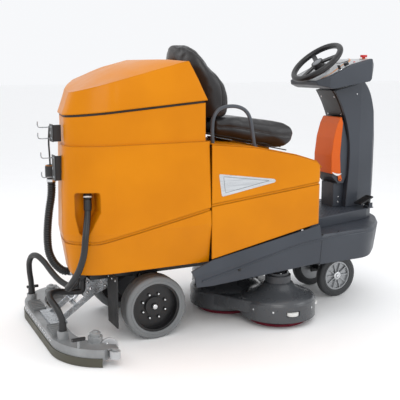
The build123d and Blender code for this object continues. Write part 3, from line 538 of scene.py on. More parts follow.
def backShape(steps=56):
    # shell-like back: narrows to a rounded top, with bolsters that come forward at both sides
    points, faces = [], []
    for z, half, rear, front, bolster in backLevels:
        for k in range(steps):
            turn = 2 * math.pi * k / steps
            c, s = math.cos(turn), math.sin(turn)
            across = math.copysign(abs(c) ** 0.62, c)
            deep = math.copysign(abs(s) ** 0.62, s)
            x = (rear + front) / 2 + (front - rear) / 2 * deep
            if s > 0:
                x -= bolster * (1 - across ** 2) * s
            else:
                x += 34 * across ** 2 * (1 - bolster / 120)
            points.append(at(x, half * across, z))
    for row in range(len(backLevels) - 1):
        for k in range(steps):
            n = (k + 1) % steps
            faces.append((row * steps + k, row * steps + n, (row + 1) * steps + n, (row + 1) * steps + k))
    faces.append(tuple(range(steps))[::-1])
    faces.append(tuple((len(backLevels) - 1) * steps + k for k in range(steps)))
    return points, faces


def relaxed(name, node, shape=None):
    # a closed form, rounded off and blown up a little as cloth
    low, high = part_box(node)
    if shape:
        mesh = bpy.data.meshes.new(name)
        mesh.from_pydata([tuple(p) for p in shape[0]], [], shape[1])
    else:
        mesh = nodes[node].data.copy()
        centre = (Vector(low) + Vector(high)) / 2
        for vertex in mesh.vertices:
            vertex.co = centre + (vertex.co - centre) * seat["shrink"]
    pad = bpy.data.objects.new(name, mesh)
    scene.collection.objects.link(pad)
    bpy.context.view_layer.objects.active = pad
    bpy.ops.object.select_all(action="DESELECT")
    pad.select_set(True)
    remesh = pad.modifiers.new("even", "REMESH")
    remesh.mode = "VOXEL"
    remesh.voxel_size = seat["voxel"]
    ease = pad.modifiers.new("ease", "SMOOTH")
    ease.factor = 0.8
    ease.iterations = 14
    applyAll(pad)
    rest = [v.co.copy() for v in pad.data.vertices]
    cloth = pad.modifiers.new("fill", "CLOTH")
    cloth.settings.use_pressure = True
    cloth.settings.uniform_pressure_force = seat["pressure"]
    cloth.settings.effector_weights.gravity = 0
    cloth.settings.quality = 4
    cloth.settings.tension_stiffness = 20
    cloth.settings.compression_stiffness = 20
    cloth.settings.bending_stiffness = 1.5
    cloth.point_cache.frame_start = 1
    cloth.point_cache.frame_end = seat["frames"]
    for number in range(1, seat["frames"] + 1):
        scene.frame_set(number)
    applyAll(pad)
    scene.frame_set(1)
    for vertex, start in zip(pad.data.vertices, rest):
        move = vertex.co - start
        if move.length > seat["cap"]:
            move *= seat["cap"] / move.length
        spot = start + move
        vertex.co = [min(max(spot[i], low[i] - seat["slack"]), high[i] + seat["slack"]) for i in range(3)]
    settle = pad.modifiers.new("settle", "SMOOTH")
    settle.factor = 0.6
    settle.iterations = seat["settle"]
    applyAll(pad)
    return pad


def applyAll(piece):
    bpy.context.view_layer.update()
    graph = bpy.context.evaluated_depsgraph_get()
    made = bpy.data.meshes.new_from_object(piece.evaluated_get(graph))
    piece.modifiers.clear()
    old = piece.data
    piece.data = made
    bpy.data.meshes.remove(old)


def seamLine(pad, guide, towards):
    # drops each guide point onto the pad along a direction
    tree = BVHTree.FromPolygons([v.co for v in pad.data.vertices], [p.vertices[:] for p in pad.data.polygons])
    line = []
    for spot in guide:
        hit = tree.ray_cast(spot, Vector(towards))
        if hit[0] is not None:
            line.append(hit[0])
    return line


def pressSeams(pad, lines):
    spots = [p for line in lines for p in dense(line, 0.004)]
    if not spots:
        return
    tree = KDTree(len(spots))
    for i, spot in enumerate(spots):
        tree.insert(spot, i)
    tree.balance()
    normals = [v.normal.copy() for v in pad.data.vertices]
    for vertex, normal in zip(pad.data.vertices, normals):
        gap = tree.find(vertex.co)[2]
        if gap < seat["seamWidth"] * 1.6:
            vertex.co -= normal * seat["seamDepth"] * math.exp(-(gap / seat["seamWidth"]) ** 2 * 3)


def dense(line, step):
    spots = []
    for a, b in zip(line, line[1:]):
        count = max(1, int((b - a).length / step))
        spots += [a.lerp(b, k / count) for k in range(count)]
    return spots + line[-1:]


def curveThrough(points, count=60):
    # Catmull-Rom through the points
    padded = [points[0] * 2 - points[1]] + list(points) + [points[-1] * 2 - points[-2]]
    line = []
    spans = len(points) - 1
    for k in range(count + 1):
        u = min(k / count * spans, spans - 1e-6)
        i, t = int(u), u - int(u)
        a, b, c, d = padded[i:i + 4]
        line.append(0.5 * ((2 * b) + (c - a) * t + (2 * a - 5 * b + 4 * c - d) * t * t
                           + (3 * b - a - 3 * c + d) * t ** 3))
    return line


def addSeat():
    print("seat: cushion and back")
    cushion = relaxed("seatCushionPad", "seat_cushion")
    back = relaxed("seatBackPad", "seat_backrest", backShape())
    jobs = []
    for sign in (-1, 1):
        # two curved seams on each side of the back, seen from the side
        side = [at(x, sign * 400, z) for x, z in ((250, 1388), (300, 1330), (352, 1262), (384, 1200), (392, 1130),
                                                 (380, 1062))]
        jobs.append((back, seamLine(back, curveThrough(side), (0, -sign, 0))))
        front = [at(620, sign * y, z) for y, z in ((95, 1385), (140, 1300), (150, 1200), (138, 1110), (128, 1050))]
        jobs.append((back, seamLine(back, curveThrough(front), (-1, 0, 0))))
        top = [at(x, sign * y, 1300) for x, y in ((445, 132), (520, 140), (620, 150), (720, 146), (790, 128))]
        jobs.append((cushion, seamLine(cushion, curveThrough(top), (0, 0, -1))))
        flank = [at(x, sign * 400, z) for x, z in ((370, 1000), (470, 992), (600, 968), (720, 946), (800, 938))]
        jobs.append((cushion, seamLine(cushion, curveThrough(flank), (0, -sign, 0))))
    across = [at(x, y, 1300) for x, y in ((760, -150), (768, -70), (770, 0), (768, 70), (760, 150))]
    jobs.append((cushion, seamLine(cushion, curveThrough(across), (0, 0, -1))))
    for pad, node in ((cushion, "seat_cushion"), (back, "seat_backrest")):
        lines = [line for owner, line in jobs if owner is pad and len(line) > 2]
        pressSeams(pad, lines)
        finer = pad.modifiers.new("finer", "SUBSURF")
        finer.levels = 1
        finer.render_levels = 1
        applyAll(pad)
        pad.data.materials.clear()
        pad.data.materials.append(finishes["leather"])
        for face in pad.data.polygons:
            face.use_smooth = True
        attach(pad, "seat")
        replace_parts(pad, node)
        tree = BVHTree.FromPolygons([v.co for v in pad.data.vertices], [p.vertices[:] for p in pad.data.polygons])
        pipes = []
        for line in lines:
            near = [tree.find_nearest(p) for p in line]
            path = [spot + normal * 0.0002 for spot, normal, face, gap in near]
            pipes.append(piped(path, seat["pipe"], 8))
        addPiece(pad.name + "Piping", joined(*pipes), "seat", "leather")


wheels = {
    "driveCentre": 155, "frontCentre": 122, "frontX": 1172, "boltRing": 62, "bolts": 8,
}


def tyreShape(bore, radius, width, face, x, z, sign, grooves):
    edge = 0.10 * width
    profile = [(bore, edge * 0.5), (bore + 2.5, 0.8), (bore + 8, 0), (bore + 13, 0.2), (bore + 14.5, 1.8),
               (bore + 16, 1.8), (bore + 17.5, 0.3), (radius - 11, 1.2), (radius - 5.5, 3.6), (radius - 1.8, 7.6),
               (radius, 13)]
    back = [(r, width - h) for r, h in profile[::-1]]
    for share in grooves:
        h = width * share
        profile += [(radius, h - 3), (radius - 1.6, h - 1.8), (radius - 1.6, h + 1.8), (radius, h + 3)]
    return turned(profile + back + [profile[0]], at(x, sign * face, z), (0, -sign, 0), 120)


def addWheels():
    for side, sign in (("right", -1), ("left", 1)):
        tyre = addPiece(f"driveTyreMoulded_{side}", tyreShape(118, 155, 95, 295, 0, wheels["driveCentre"], sign,
                                                            (0.32, 0.68)), f"drive_wheel_{side}", "greyTyre")
        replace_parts(tyre, f"drive_tyre_{side}")
        small = addPiece(f"steerTyreMoulded_{side}", tyreShape(82, 122, 48, 146, wheels["frontX"],
                                                              wheels["frontCentre"], sign, (0.5,)),
                         f"front_wheel_{side}", "darkTyre")
        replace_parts(small, f"front_tyre_{side}")
        bolts = []
        for step in range(wheels["bolts"]):
            angle = math.radians(22.5 + 45 * step)
            spot = at(wheels["boltRing"] * math.cos(angle), sign * 261,
                      wheels["driveCentre"] + wheels["boltRing"] * math.sin(angle))
            bolts.append(turned([(0, 4.4), (3.4, 4.2), (5.6, 2.8), (6.6, 0), (6.6, -1)], spot, (0, sign, 0), 6))
        bolts.append(turned([(0, 9), (7, 8.4), (12, 6), (14.5, 1.5), (14.5, -2)], at(0, sign * 273, 155),
                            (0, sign, 0), 40))
        addPiece(f"wheelBolts_{side}", joined(*bolts), f"drive_wheel_{side}", "bright")
        ring = turned([(112, 0), (114, -1.5), (117.5, -1.5), (118, 1), (118, 4)], at(0, sign * 287, 155),
                      (0, sign, 0), 96)
        addPiece(f"rimLip_{side}", ring, f"drive_wheel_{side}", "blackRim")
        cap = turned([(0, 6), (6, 5.8), (10, 4.6), (12, 2), (12, -3)], at(1172, sign * 142, 122), (0, sign, 0), 6)
        boss = turned([(12, 1.5), (19, 1.5), (22, 0), (24, -3)], at(1172, sign * 142, 122), (0, sign, 0), 40)
        addPiece(f"hubCap_{side}", joined(cap, boss), f"front_wheel_{side}", "bright")


lid = {
    "rimInset": 14, "creaseInset": 50, "frontLean": 42, "peak": -60,
    "creaseLow": (-349, 1189), "creaseHigh": (132, 1312),
    "crown": [(-388, 1160), (-340, 1214), (-250, 1248), (-100, 1296), (35, 1324), (90, 1328), (130, 1324),
              (165, 1308)],
}


def straight(a, b, count):
    return [(a[0] + (b[0] - a[0]) * k / count, a[1] + (b[1] - a[1]) * k / count) for k in range(count)]


def tankRing(inset, count=40):
    # plan of the tank with a cut-back rear left corner, as dense points
    half = 385 - inset
    front = 247 - (0 if inset < 6 else inset) - (lid["frontLean"] if inset > 20 else 0)
    knots = [((front, -half), None), ((-220, -half), (-1, 0)), ((-430 + inset, -225), (0.18, 1)),
             ((-392 + inset, -30), (0.36, 1)), ((-296 + inset, 235 - inset * 0.5), (0.5, 1)),
             ((-150, half), (1, 0)), ((front, half), None)]
    ring = []
    ring += straight(knots[0][0], knots[1][0], count)
    for (a, da), (b, db) in zip(knots[1:5], knots[2:6]):
        chord = math.dist(a, b)
        la, lb = math.hypot(*da), math.hypot(*db)
        for k in range(count):
            t = k / count
            h = (2 * t ** 3 - 3 * t ** 2 + 1, t ** 3 - 2 * t ** 2 + t, -2 * t ** 3 + 3 * t ** 2, t ** 3 - t ** 2)
            ring.append(tuple(h[0] * a[i] + h[1] * chord * da[i] / la + h[2] * b[i] + h[3] * chord * db[i] / lb
                              for i in (0, 1)))
    return ring + straight(knots[5][0], knots[6][0], count) + straight(knots[6][0], knots[0][0], count)


def interpolated(table, x):
    if x <= table[0][0]:
        return table[0][1]
    for (x0, z0), (x1, z1) in zip(table, table[1:]):
        if x <= x1:
            t = (x - x0) / (x1 - x0)
            return z0 + (z1 - z0) * t
    return table[-1][1]


def creaseHeight(x):
    (x0, z0), (x1, z1) = lid["creaseLow"], lid["creaseHigh"]
    return min(z0 + (z1 - z0) * (x - x0) / (x1 - x0), z1 + 3)


def addLid():
    rim = tankRing(lid["rimInset"])
    crease = tankRing(lid["creaseInset"])
    count = len(rim)
    rows = []

    def wallPoint(i, share):
        (x0, y0), (x1, y1) = rim[i], crease[i]
        bulge = math.sin(share * math.pi) * 5
        x, y = x0 + (x1 - x0) * share, y0 + (y1 - y0) * share
        if share < 1 and abs(y) > 1:
            y += math.copysign(bulge * (1 if abs(x) < 200 else 0.4), y)
        bottom = 1066 + 0.085 * (x0 + 500) + 11
        return x, y, bottom + (creaseHeight(x1) - bottom) * share

    for share in (0, 0.03, 0.15, 0.3, 0.5, 0.7, 0.85, 0.95):
        rows.append([wallPoint(i, share) for i in range(count)])
    for share in (0.0, 0.02, 0.05, 0.09, 0.14, 0.2, 0.3, 0.42, 0.56, 0.7, 0.85, 1.0):
        row = []
        for x, y in crease:
            px, py = x + (lid["peak"] - x) * share, y * (1 - share)
            low, top = creaseHeight(x), interpolated(lid["crown"], px)
            rise = 1 - (1 - share) ** 2.4
            row.append((px, py, low + (top - low) * rise if share else low))
        rows.append(row)
    points = [at(*p) for row in rows for p in row]
    faces = []
    for r in range(len(rows) - 1):
        for i in range(count):
            j = (i + 1) % count
            faces.append((r * count + i, r * count + j, (r + 1) * count + j, (r + 1) * count + i))
    cover = addPiece("domedLid", (points, faces), "lid", "yellow")
    thick = cover.modifiers.new("wall", "SOLIDIFY")
    thick.thickness = 5 * mm
    thick.offset = -1
    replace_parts(cover, "tank_lid")
    lean = (1, 0, 0.085)
    hinge = joined(turned([(3.1, -25), (6, -25), (6, 25), (3.1, 25)], at(0, 371, 1114.5), lean, 24),
                   brick(-24, 24, 350, 370, 1119.5, 1123.5))
    addPiece("lidHingeLeaf", hinge, "lid", "yellow")


trim = {"wedge": [(284, 796), (590, 752), (597, 742), (590, 735), (300, 686)], "proud": 2.0}


def addTrim():
    y = -385
    outline = roundedOutline([at(x, y + 0.5, z) for x, z in trim["wedge"]], 10)
    plate = extruded(outline, Vector((0, -trim["proud"] * mm, 0)))
    addPiece("silverWedge", plate, "chassis", "wedge", 0.8)
    mirrorOutline = [Vector((p.x, -p.y, p.z)) for p in outline]
    addPiece("silverWedgeLeft", extruded(mirrorOutline, Vector((0, trim["proud"] * mm, 0))), "chassis", "wedge",
             0.8)
    inner = [(308, 782), (560, 746), (318, 704)]
    line = roundedOutline([at(x, y - 1.6, z) for x, z in inner], 6)
    addPiece("wedgeLine", piped(line, 0.9, 6, closed=True), "chassis", "rail")
    plugs = []
    for sign in (-1, 1):
        plugs.append(turned([(0, 4), (6, 3.6), (8.4, 2), (9, 0), (9, -4)], at(390, sign * 402, 325), (0, sign, 0), 24))
        for x, z in ((880, 441), (980, 449)):
            plugs.append(turned([(0, 2.4), (4, 2), (5, 0), (5, -2)], at(x, sign * 392, z + 4), (0, sign * 0.3, 1), 20))
    addPiece("skirtPlugs", joined(*plugs), "chassis", "blackPlastic")


console = {
    "slope": [(1000, 1212), (1206, 1302), (1330, 1332), (1388, 1304)],
    "plan": [(1004, 112), (1060, 150), (1322, 158), (1372, 108), (1382, 60)],
    "shaft": (1101, 0),
    "screen": [(1222, -34), (1286, -34), (1286, 44), (1222, 44)],
    "stripe": [(1352, 90), (1318, 10), (1262, -58), (1180, -96), (1096, -128), (1030, -128)],
    "keys": [(1210, 92), (1236, 96), (1262, 98), (1288, 98)],
}


def slopeZ(x):
    return interpolated(console["slope"], x)


def onPanel(x, y, above=0.0):
    return at(x, y, slopeZ(x) + above)


def panelSheet(halfWidth, x0, x1, above, hole, columns=30, rows=40):
    points, faces = [], []
    for i in range(rows + 1):
        x = x0 + (x1 - x0) * i / rows
        half = halfWidth(x)
        for j in range(columns + 1):
            points.append(onPanel(x, -half + 2 * half * j / columns, above))
    for i in range(rows):
        for j in range(columns):
            a = i * (columns + 1) + j
            face = (a, a + 1, a + columns + 2, a + columns + 1)
            middle = sum((points[k] for k in face), Vector()) / 4
            if (middle - hole[0]).length > hole[1] * mm:
                faces.append(face)
    return points, faces


def addConsole():
    plan = console["plan"]
    centre = onPanel(*console["shaft"], 0)
    sheet = panelSheet(lambda x: interpolated(plan, x), 1006, 1380, 1.2, (centre, 50))
    addPiece("consolePanel", sheet, "chassis", "panel")
    lean = Vector((-0.4, 0, 0.9165))
    ringShape = turned([(39.5, -3), (40, 2.4), (44, 4.4), (62, 4.4), (66, 2.6), (67, 0)], centre, lean, 64)
    addPiece("shaftRing", ringShape, "chassis", "panelRing")
    path = [onPanel(p.x, p.y, 1.8) for p in curveThrough([Vector((x, y, 0)) for x, y in console["stripe"]], 50)]
    band, faces = [], []
    for i, spot in enumerate(path):
        a, b = path[max(0, i - 1)], path[min(len(path) - 1, i + 1)]
        out = (b - a).cross(Vector((0, 0, 1))).normalized() * 4.5 * mm
        band += [spot - out, spot + out]
        if i:
            faces.append((2 * i - 2, 2 * i - 1, 2 * i + 1, 2 * i))
    addPiece("panelStripe", (band, faces), "chassis", "yellow")
    glass = extruded(roundedOutline([onPanel(x, y, 1.0) for x, y in console["screen"]], 8), lean * 3 * mm)
    addPiece("panelScreen", glass, "chassis", "screen", 0.6)
    keys = []
    for x, y in console["keys"]:
        keys.append(turned([(0, 3.6), (6, 3.4), (8, 2.4), (8.6, 0)], onPanel(x, y, 1.0), (-0.05, 0, 1), 28))
    addPiece("panelKeys", joined(*keys), "chassis", "rail")
    collar = turned([(19.5, 0.6), (23, 1.6), (24, 0)], at(1322, -108, slopeZ(1322) + 1.2), (0, 0, 1), 40)
    addPiece("stopCollar", collar, "chassis", "yellow")
    small = [turned([(0, 4), (4.5, 3.6), (6, 2), (6.4, 0)], onPanel(1248, -122, 1.2), (-0.1, 0, 1), 24)]
    addPiece("hornButton", joined(*small), "chassis", "red")
    dial = turned([(14.4, 0.2), (17.5, 1.2), (19, 0)], onPanel(1192, -130, 1.4), lean, 40)
    lock = turned([(9, 4), (11, 3.4), (12, 0)], onPanel(1136, -148, 1.0), lean, 32)
    addPiece("switchCollars", joined(dial, lock), "chassis", "bright")
    ticks = []
    for step in range(9):
        angle = math.radians(-120 + 30 * step)
        x, y = 1192 + 26 * math.cos(angle), -130 + 24 * math.sin(angle)
        ticks.append(turned([(0, 0.5), (1.2, 0.5), (1.3, 0)], onPanel(x, y, 1.3), lean, 8))
    addPiece("dialTicks", joined(*ticks), "chassis", "blackPlastic")


column = {
    "rear": [(1248, 645), (1262, 700), (1265, 790), (1262, 868), (1246, 950), (1222, 1026), (1188, 1098),
             (1150, 1160)],
    "half": 78, "proud": 3.0,
}


def addColumn():
    line = curveThrough([Vector((x, 0, z)) for x, z in column["rear"]], 40)
    points, faces = [], []
    for i, spot in enumerate(line):
        a, b = line[max(0, i - 1)], line[min(len(line) - 1, i + 1)]
        back = Vector(((a - b).z, 0, (b - a).x)).normalized()
        if back.x > 0:
            back = -back
        half = column["half"] * (0.94 if i < 2 or i > len(line) - 3 else 1)
        for y, out in ((-half, 0), (-half + 3, 2.4), (-half + 9, 3), (half - 9, 3), (half - 3, 2.4), (half, 0)):
            p = spot + back * out
            points.append(at(p.x, y, p.z))
        if i:
            for k in range(5):
                faces.append((6 * i - 6 + k, 6 * i - 5 + k, 6 * i + 1 + k, 6 * i + k))
    addPiece("columnBackPanel", (points, faces), "chassis", "blackPlastic")
    screws = []
    for x, z in ((1222, 1026), (1172, 1124)):
        for y in (-60, 60):
            screws.append(turned([(0, 2.2), (3.2, 2), (4.6, 0.8), (4.8, -1)], at(x - 3, y, z), (-0.85, 0, -0.5), 20))
    for z in (1140, 560, 530):
        screws.append(turned([(0, 2), (2.8, 1.8), (4, 0.6), (4, -1)], at(1300 if z > 1000 else 1222, -93 if z > 1000
                      else -57, z), (0, -1, 0), 20))
    addPiece("columnScrews", joined(*screws), "chassis", "bright")
    crescent = []
    for k in range(13):
        t = k / 12
        x = 1156 + 62 * t
        z = 716 - 34 * math.sin(math.pi * (0.10 + 0.62 * t)) + 6 * t
        crescent.append((x, z))
    upper = [(x + 1, z + 9 * math.sin(math.pi * k / 12) + 3) for k, (x, z) in enumerate(crescent)]
    band = [at(x, -83, z) for x, z in crescent] + [at(x, -83, z) for x, z in reversed(upper)]
    addPiece("doorCrescent", extruded(band, Vector((0, 1.4 * mm, 0))), "dosing_door", "white")


treadPlate = {"x": (896, 1236), "pitch": 24, "long": 7.5, "wide": 2.2, "proud": 1.6}


def addTread():
    ridges = []
    x = treadPlate["x"][0]
    row = 0
    while x < treadPlate["x"][1]:
        half = interpolated([(871, 262), (960, 244), (1330, 152)], x)
        y = -half + (12 if row % 2 else 0)
        while y < half:
            angle = math.radians(45 if (round((y + half) / 24) + row) % 2 else -45)
            ahead = Vector((math.cos(angle), math.sin(angle), 0)) * treadPlate["long"] * mm
            across = Vector((-math.sin(angle), math.cos(angle), 0)) * treadPlate["wide"] * mm
            base = at(x, y, 502.9)
            low = [base - ahead, base + across, base + ahead, base - across]
            high = [p + (base - p) * 0.35 + Vector((0, 0, treadPlate["proud"] * mm)) for p in low]
            ridges.append((low + high, [(0, 1, 5, 4), (1, 2, 6, 5), (2, 3, 7, 6), (3, 0, 4, 7), (4, 5, 6, 7)]))
            y += treadPlate["pitch"]
        x += treadPlate["pitch"] / 2 + 4
        row += 1
    addPiece("treadRidges", joined(*ridges), "chassis", "blueGrey", smooth=False)
    grip = []
    tilt = math.radians(24)
    for k in range(7):
        s = -36 + 12 * k
        middle = at(1330 + s * math.cos(tilt) - 4.6 * math.sin(tilt), -150, 548 + s * math.sin(tilt)
                    + 4.6 * math.cos(tilt))
        grip.append(piped([middle + Vector((0, -26 * mm, 0)), middle + Vector((0, 26 * mm, 0))], 1.8, 10))
    addPiece("pedalGrip", joined(*grip), "drive_pedal", "blackRubber")


def addDeckDetails():
    discs = ((530, 0), (680, -290), (680, 290))
    tops, bolts = [], []
    for x, y in discs:
        tops.append(turned([(0, 4), (30, 4), (34, 2), (35, -1)], at(x, y, 250), (0, 0, 1), 48))
        tops.append(turned([(67.5, 0), (72, 1.5), (74, 5), (74, 9), (70, 13), (66.5, 14)], at(x, y, 124.5), (0, 0, 1),
                           64))
        for step in range(6):
            angle = math.radians(60 * step + 15)
            spot = at(x + 50 * math.cos(angle), y + 50 * math.sin(angle), 249.5)
            bolts.append(turned([(0, 4), (3.5, 3.8), (4.6, 2.6), (4.6, 0)], spot, (0, 0, 1), 6))
    for sign in (-1, 1):
        for turn in (60, 128, 160, 205):
            angle = math.radians(turn)
            spot = at(680 + 194.6 * math.cos(angle), sign * (290 + 194.6 * math.sin(angle)), 92)
            out = (math.cos(angle), sign * math.sin(angle), 0)
            bolts.append(turned([(0, 3), (4, 2.7), (5.6, 1.4), (5.8, -1)], spot, out, 6))
    addPiece("motorCollars", joined(*tops), "scrub_deck", "motor")
    # crowned covers over the three pads, and the fixed roller at each flank
    crown = [(192, 118), (190, 127), (180, 136), (148, 149), (116, 162), (92, 176), (77, 194), (70, 200), (66, 201)]
    addPiece("padCrowns", joined(*[turned(crown, at(x, y, 0), (0, 0, 1), 96) for x, y in discs]), "scrub_deck",
             "deck")
    # straight flanks from the middle pad's cover to the outer ones
    walls = []
    for sign in (-1, 1):
        walls.append(extruded([at(x, sign * y, 62) for x, y in ((363, 86), (513, 376), (640, 300), (560, 20))],
                              Vector((0, 0, 66 * mm))))
    addPiece("deckFlanks", joined(*walls), "scrub_deck", "deck", 6)
    reach, angle = 175, math.radians(98)
    flank = [capped(34, 72, 90, 3, at(680 + reach * math.cos(angle), sign * (290 + reach * math.sin(angle)), 0),
                    (0, 0, 1), 56) for sign in (-1, 1)]
    addPiece("flankRollers", joined(*flank), "scrub_deck", "roller")
    addPiece("deckBolts", joined(*bolts), "scrub_deck", "bright")


def addSqueegeeDetails():
    parts, knobs, bolts = [], [], []
    for sign in (-1, 1):
        # stepped cap over the far corner of each casting and its knob
        parts.append(turned([(24.5, 0), (25, 3), (21, 6), (13, 8), (12, 12), (6, 14), (0, 14)],
                            at(-338, sign * 385, 117), (0, 0, 1), 48))
        for step in range(6):
            angle = math.radians(60 * step)
            parts.append(turned([(0, 3), (3, 2.6), (4, 1), (4, -1)],
                                at(-338 + 28.5 * math.cos(angle), sign * 385 + 28.5 * math.sin(angle), 104), (0, 0, 1),
                                16))
        knobs.append(capped(7.4, 110, 122, 2, at(-428, sign * 430, 0), (0, 0, 1), 24))
        grip = extruded(roundedOutline([at(-460, sign * 430 - 8, 112), at(-396, sign * 430 - 8, 112),
                                        at(-396, sign * 430 + 8, 112), at(-460, sign * 430 + 8, 112)], 7),
                        Vector((0, 0, 12.5 * mm)))
        knobs.append(grip)
        for y in range(30, 250, 36):
            bolts.append(turned([(0, 4), (4, 3.7), (5.4, 2.2), (5.4, -1)], at(-505.5, sign * y, 62), (-1, 0, 0), 20))
        for x, y in ((-420, 60), (-420, 180), (-300, 440)):
            bolts.append(turned([(0, 5), (4, 4.8), (5.8, 3), (5.8, -1)], at(x, sign * y, 80), (0, 0, 1), 6))
        parts.append(turned([(10, 0), (15.5, 0.6), (15.5, 3), (10, 5), (0, 5.4)], at(-288, sign * 508, 80), (0, 0, 1),
                            32))
    addPiece("squeegeeCaps", joined(*parts), "squeegee", "cast")
    addPiece("squeegeeKnobs", joined(*knobs), "squeegee", "blackPlastic", 1.5)
    addPiece("squeegeeBolts", joined(*bolts), "squeegee", "bright")


def addLiftDetails():
    bolts = []
    for sign in (-1, 1):
        for x, z in ((-280, 268), (-280, 216), (-210, 276), (-190, 238)):
            bolts.append(turned([(0, 5), (4, 4.8), (6.4, 3.2), (6.6, 0), (9, 0), (9, -1)], at(x, sign * 96, z),
                                (0, sign, 0), 6))
        bolts.append(turned([(0, 5), (7, 4.6), (9, 2.5), (9, -1)], at(-165, sign * 104, 262), (0, sign, 0), 24))
        for y in (200, 250, 296):
            bolts.append(turned([(0, 4), (4, 3.6), (6, 2), (6.2, -1)], at(-206, sign * y, 318), (-1, 0, 0), 20))
    addPiece("bracketBolts", joined(*bolts), "chassis", "bright")


holders = {
    "plates": [((962, 1040), (-205, -150), -505), ((790, 905), (-225, -172), -500)],
    "wire": 2.4, "tip": 26,
}


def addHolders():
    plates, wires, rivets = [], [], []
    for (low, high), (y0, y1), tip in holders["plates"]:
        outline = roundedOutline([at(-450, y0, low), at(-450, y1, low), at(-450, y1, high), at(-450, y0, high)], 5)
        plates.append(extruded(outline, Vector((4 * mm, 0, 0))))
        plates.append(brick(-448, -412, y0, y0 + 4, low + 2, high - 2))
        for z in (low + 14, high - 14):
            corners = [at(-447, y1 - 10, z), at(tip + 9, y1 - 10, z), at(tip, y1 - 10, z + 9),
                       at(tip, y1 - 10, z + holders["tip"])]
            wires.append(piped(curveThrough(corners, 30), holders["wire"], 10))
            for y in (y1 - 36, y1 - 24):
                rivets.append(turned([(0, 2), (2.4, 1.7), (3.6, 0.4), (3.6, -1)], at(-450, y, z + 2), (-1, 0, 0), 16))
        slotLow = low + (high - low) * 0.42
        rivets.append(extruded(roundedOutline([at(-450.4, y1 - 22, slotLow), at(-450.4, y1 - 6, slotLow),
                                               at(-450.4, y1 - 6, slotLow + 12), at(-450.4, y1 - 22, slotLow + 12)],
                                              3), Vector((0.8 * mm, 0, 0))))
    made = addPiece("holderPlates", joined(*plates), "chassis", "frame", 0.6)
    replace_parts(made, "hook_plates")
    addPiece("holderWires", joined(*wires), "chassis", "zinc")
    addPiece("holderRivets", joined(*rivets), "chassis", "zinc")
    strap = curveThrough([at(-447, -140, 1030), at(-452, -138, 960), at(-450, -136, 900), at(-448, -132, 852)], 24)
    addPiece("holderStrap", piped(strap, 4.0, 8), "chassis", "blackRubber")


def sideProfile(points, y0, y1):
    return extruded([at(x, y0, z) for x, z in points], Vector((0, (y1 - y0) * mm, 0)))


seatDeck = {"from": 474, "height": 916, "fall": 50 / 240}


def addSeatPan():
    # pan, bent back plate that narrows behind the pad, and the two runners
    def above(x, rise):
        return x, seatDeck["height"] - seatDeck["fall"] * (x - seatDeck["from"]) + rise

    pan = sideProfile([above(322, 20), above(745, 20), above(745, 26), above(322, 26)], -190, 190)
    low = sideProfile([above(322, 20), above(328, 24), (328, 1040), (290, 1078), (284, 1074), (322, 1036)], -150, 150)
    high = sideProfile([(290, 1078), (262, 1196), (240, 1270), (234, 1268), (256, 1194), (284, 1074)], -96, 96)
    runners = [sideProfile([above(500, 9.6), above(690, 9.6), above(690, 21), above(500, 21)], y, y + 20)
               for y in (-132, 112)]
    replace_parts(addPiece("seatPanPressed", joined(pan, low, high, *runners), "seat", "frame", 1.5),
                "seat_pan")


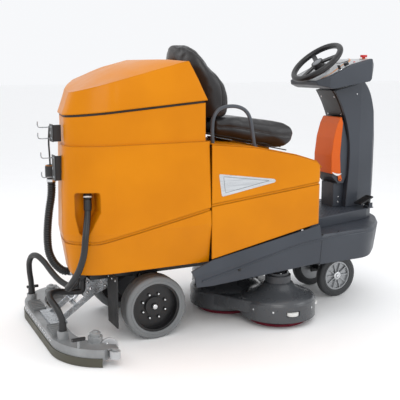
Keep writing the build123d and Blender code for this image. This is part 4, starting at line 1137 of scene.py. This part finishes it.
def addSkirtBead():
    # raised line that runs from the skirt's tail up to the nose
    points, faces = [], []
    for name in ("side_skirts", "front_bumper"):
        first = len(points)
        body = nodes[name]
        points += [body.matrix_world @ v.co for v in body.data.vertices]
        faces += [[first + i for i in p.vertices] for p in body.data.polygons]
    tree = BVHTree.FromPolygons(points, faces)
    guide = [(190, 290), (390, 334), (674, 400), (854, 424), (1042, 434), (1180, 437)]
    beads = []
    for sign in (-1, 1):
        line = []
        for spot in curveThrough([at(x, sign * 700, z) for x, z in guide], 80):
            hit = tree.ray_cast(spot, Vector((0, -sign, 0)))
            if hit[0] is not None and abs(hit[0].y) > 0.3:
                line.append(hit[0])
        if len(line) > 2:
            beads.append(piped(line, 4.5, 10))
    addPiece("skirtBead", joined(*beads), "chassis", "blueGrey")


def addRails():
    side = [(274, 926), (271, 1000), (278, 1056), (306, 1092), (350, 1106), (404, 1104), (448, 1084), (474, 1044),
            (488, 980), (500, 908)]
    made = []
    for y in (-340, 340):
        made.append(piped(curveThrough([at(x, y, z) for x, z in side], 90), 9.0, 16))
        for x, z in (side[0], side[-1]):
            foot = [(9, -6), (15, -5), (15.5, -2), (15.5, 2), (13, 3.4), (9, 4)]
            made.append(turned(foot, at(x, y, z), (0, 0, 1), 32))
    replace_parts(addPiece("hipRails", joined(*made), "seat_base", "rail"), "grab_rails")


def addHandWheel():
    lean = Vector((-math.sin(math.radians(38.9)), 0, math.cos(math.radians(38.9))))
    hub = at(1088, 0, 1313)
    cap = turned([(0, 5), (14, 4.4), (22, 2.6), (27, 0.5), (28, -1)], hub, lean, 48)
    addPiece("hubDisc", cap, "hand_wheel", "panelRing")
    boot = turned([(13, 0), (15, -4), (24, -9), (20, -14), (30, -19), (27, -24), (36, -30), (38, -34)],
                  hub + lean * -0.012, lean, 40)
    addPiece("shaftBoot", boot, "hand_wheel", "blackRubber")


def addFloor():
    half = studio["floor"] / 2
    mesh = bpy.data.meshes.new("studioFloor")
    mesh.from_pydata([(-half, -half, 0), (half, -half, 0), (half, half, 0), (-half, half, 0)], [], [(0, 1, 2, 3)])
    mesh.materials.append(moulded("floorPaint", (0.97, 0.97, 0.97), (0.96, 0.96, 0.96), 0.8, 60, 0.0004, 0.1, 0.0))
    ground = bpy.data.objects.new("studioFloor", mesh)
    ground.location.z = -0.0005
    scene.collection.objects.link(ground)


setCamera()
setStudio()
addFloor()
dressNodes()
print("studio and finishes set")
addHoses()
print("hoses made")
addSeat()
print("seat made")
addWheels()
addLid()
print("wheels and lid made")
addTrim()
addConsole()
addColumn()
addTread()
print("console, column and tread made")
addDeckDetails()
addSqueegeeDetails()
addLiftDetails()
addHolders()
addHandWheel()
addRails()
addSeatPan()
addSkirtBead()
print("details made")
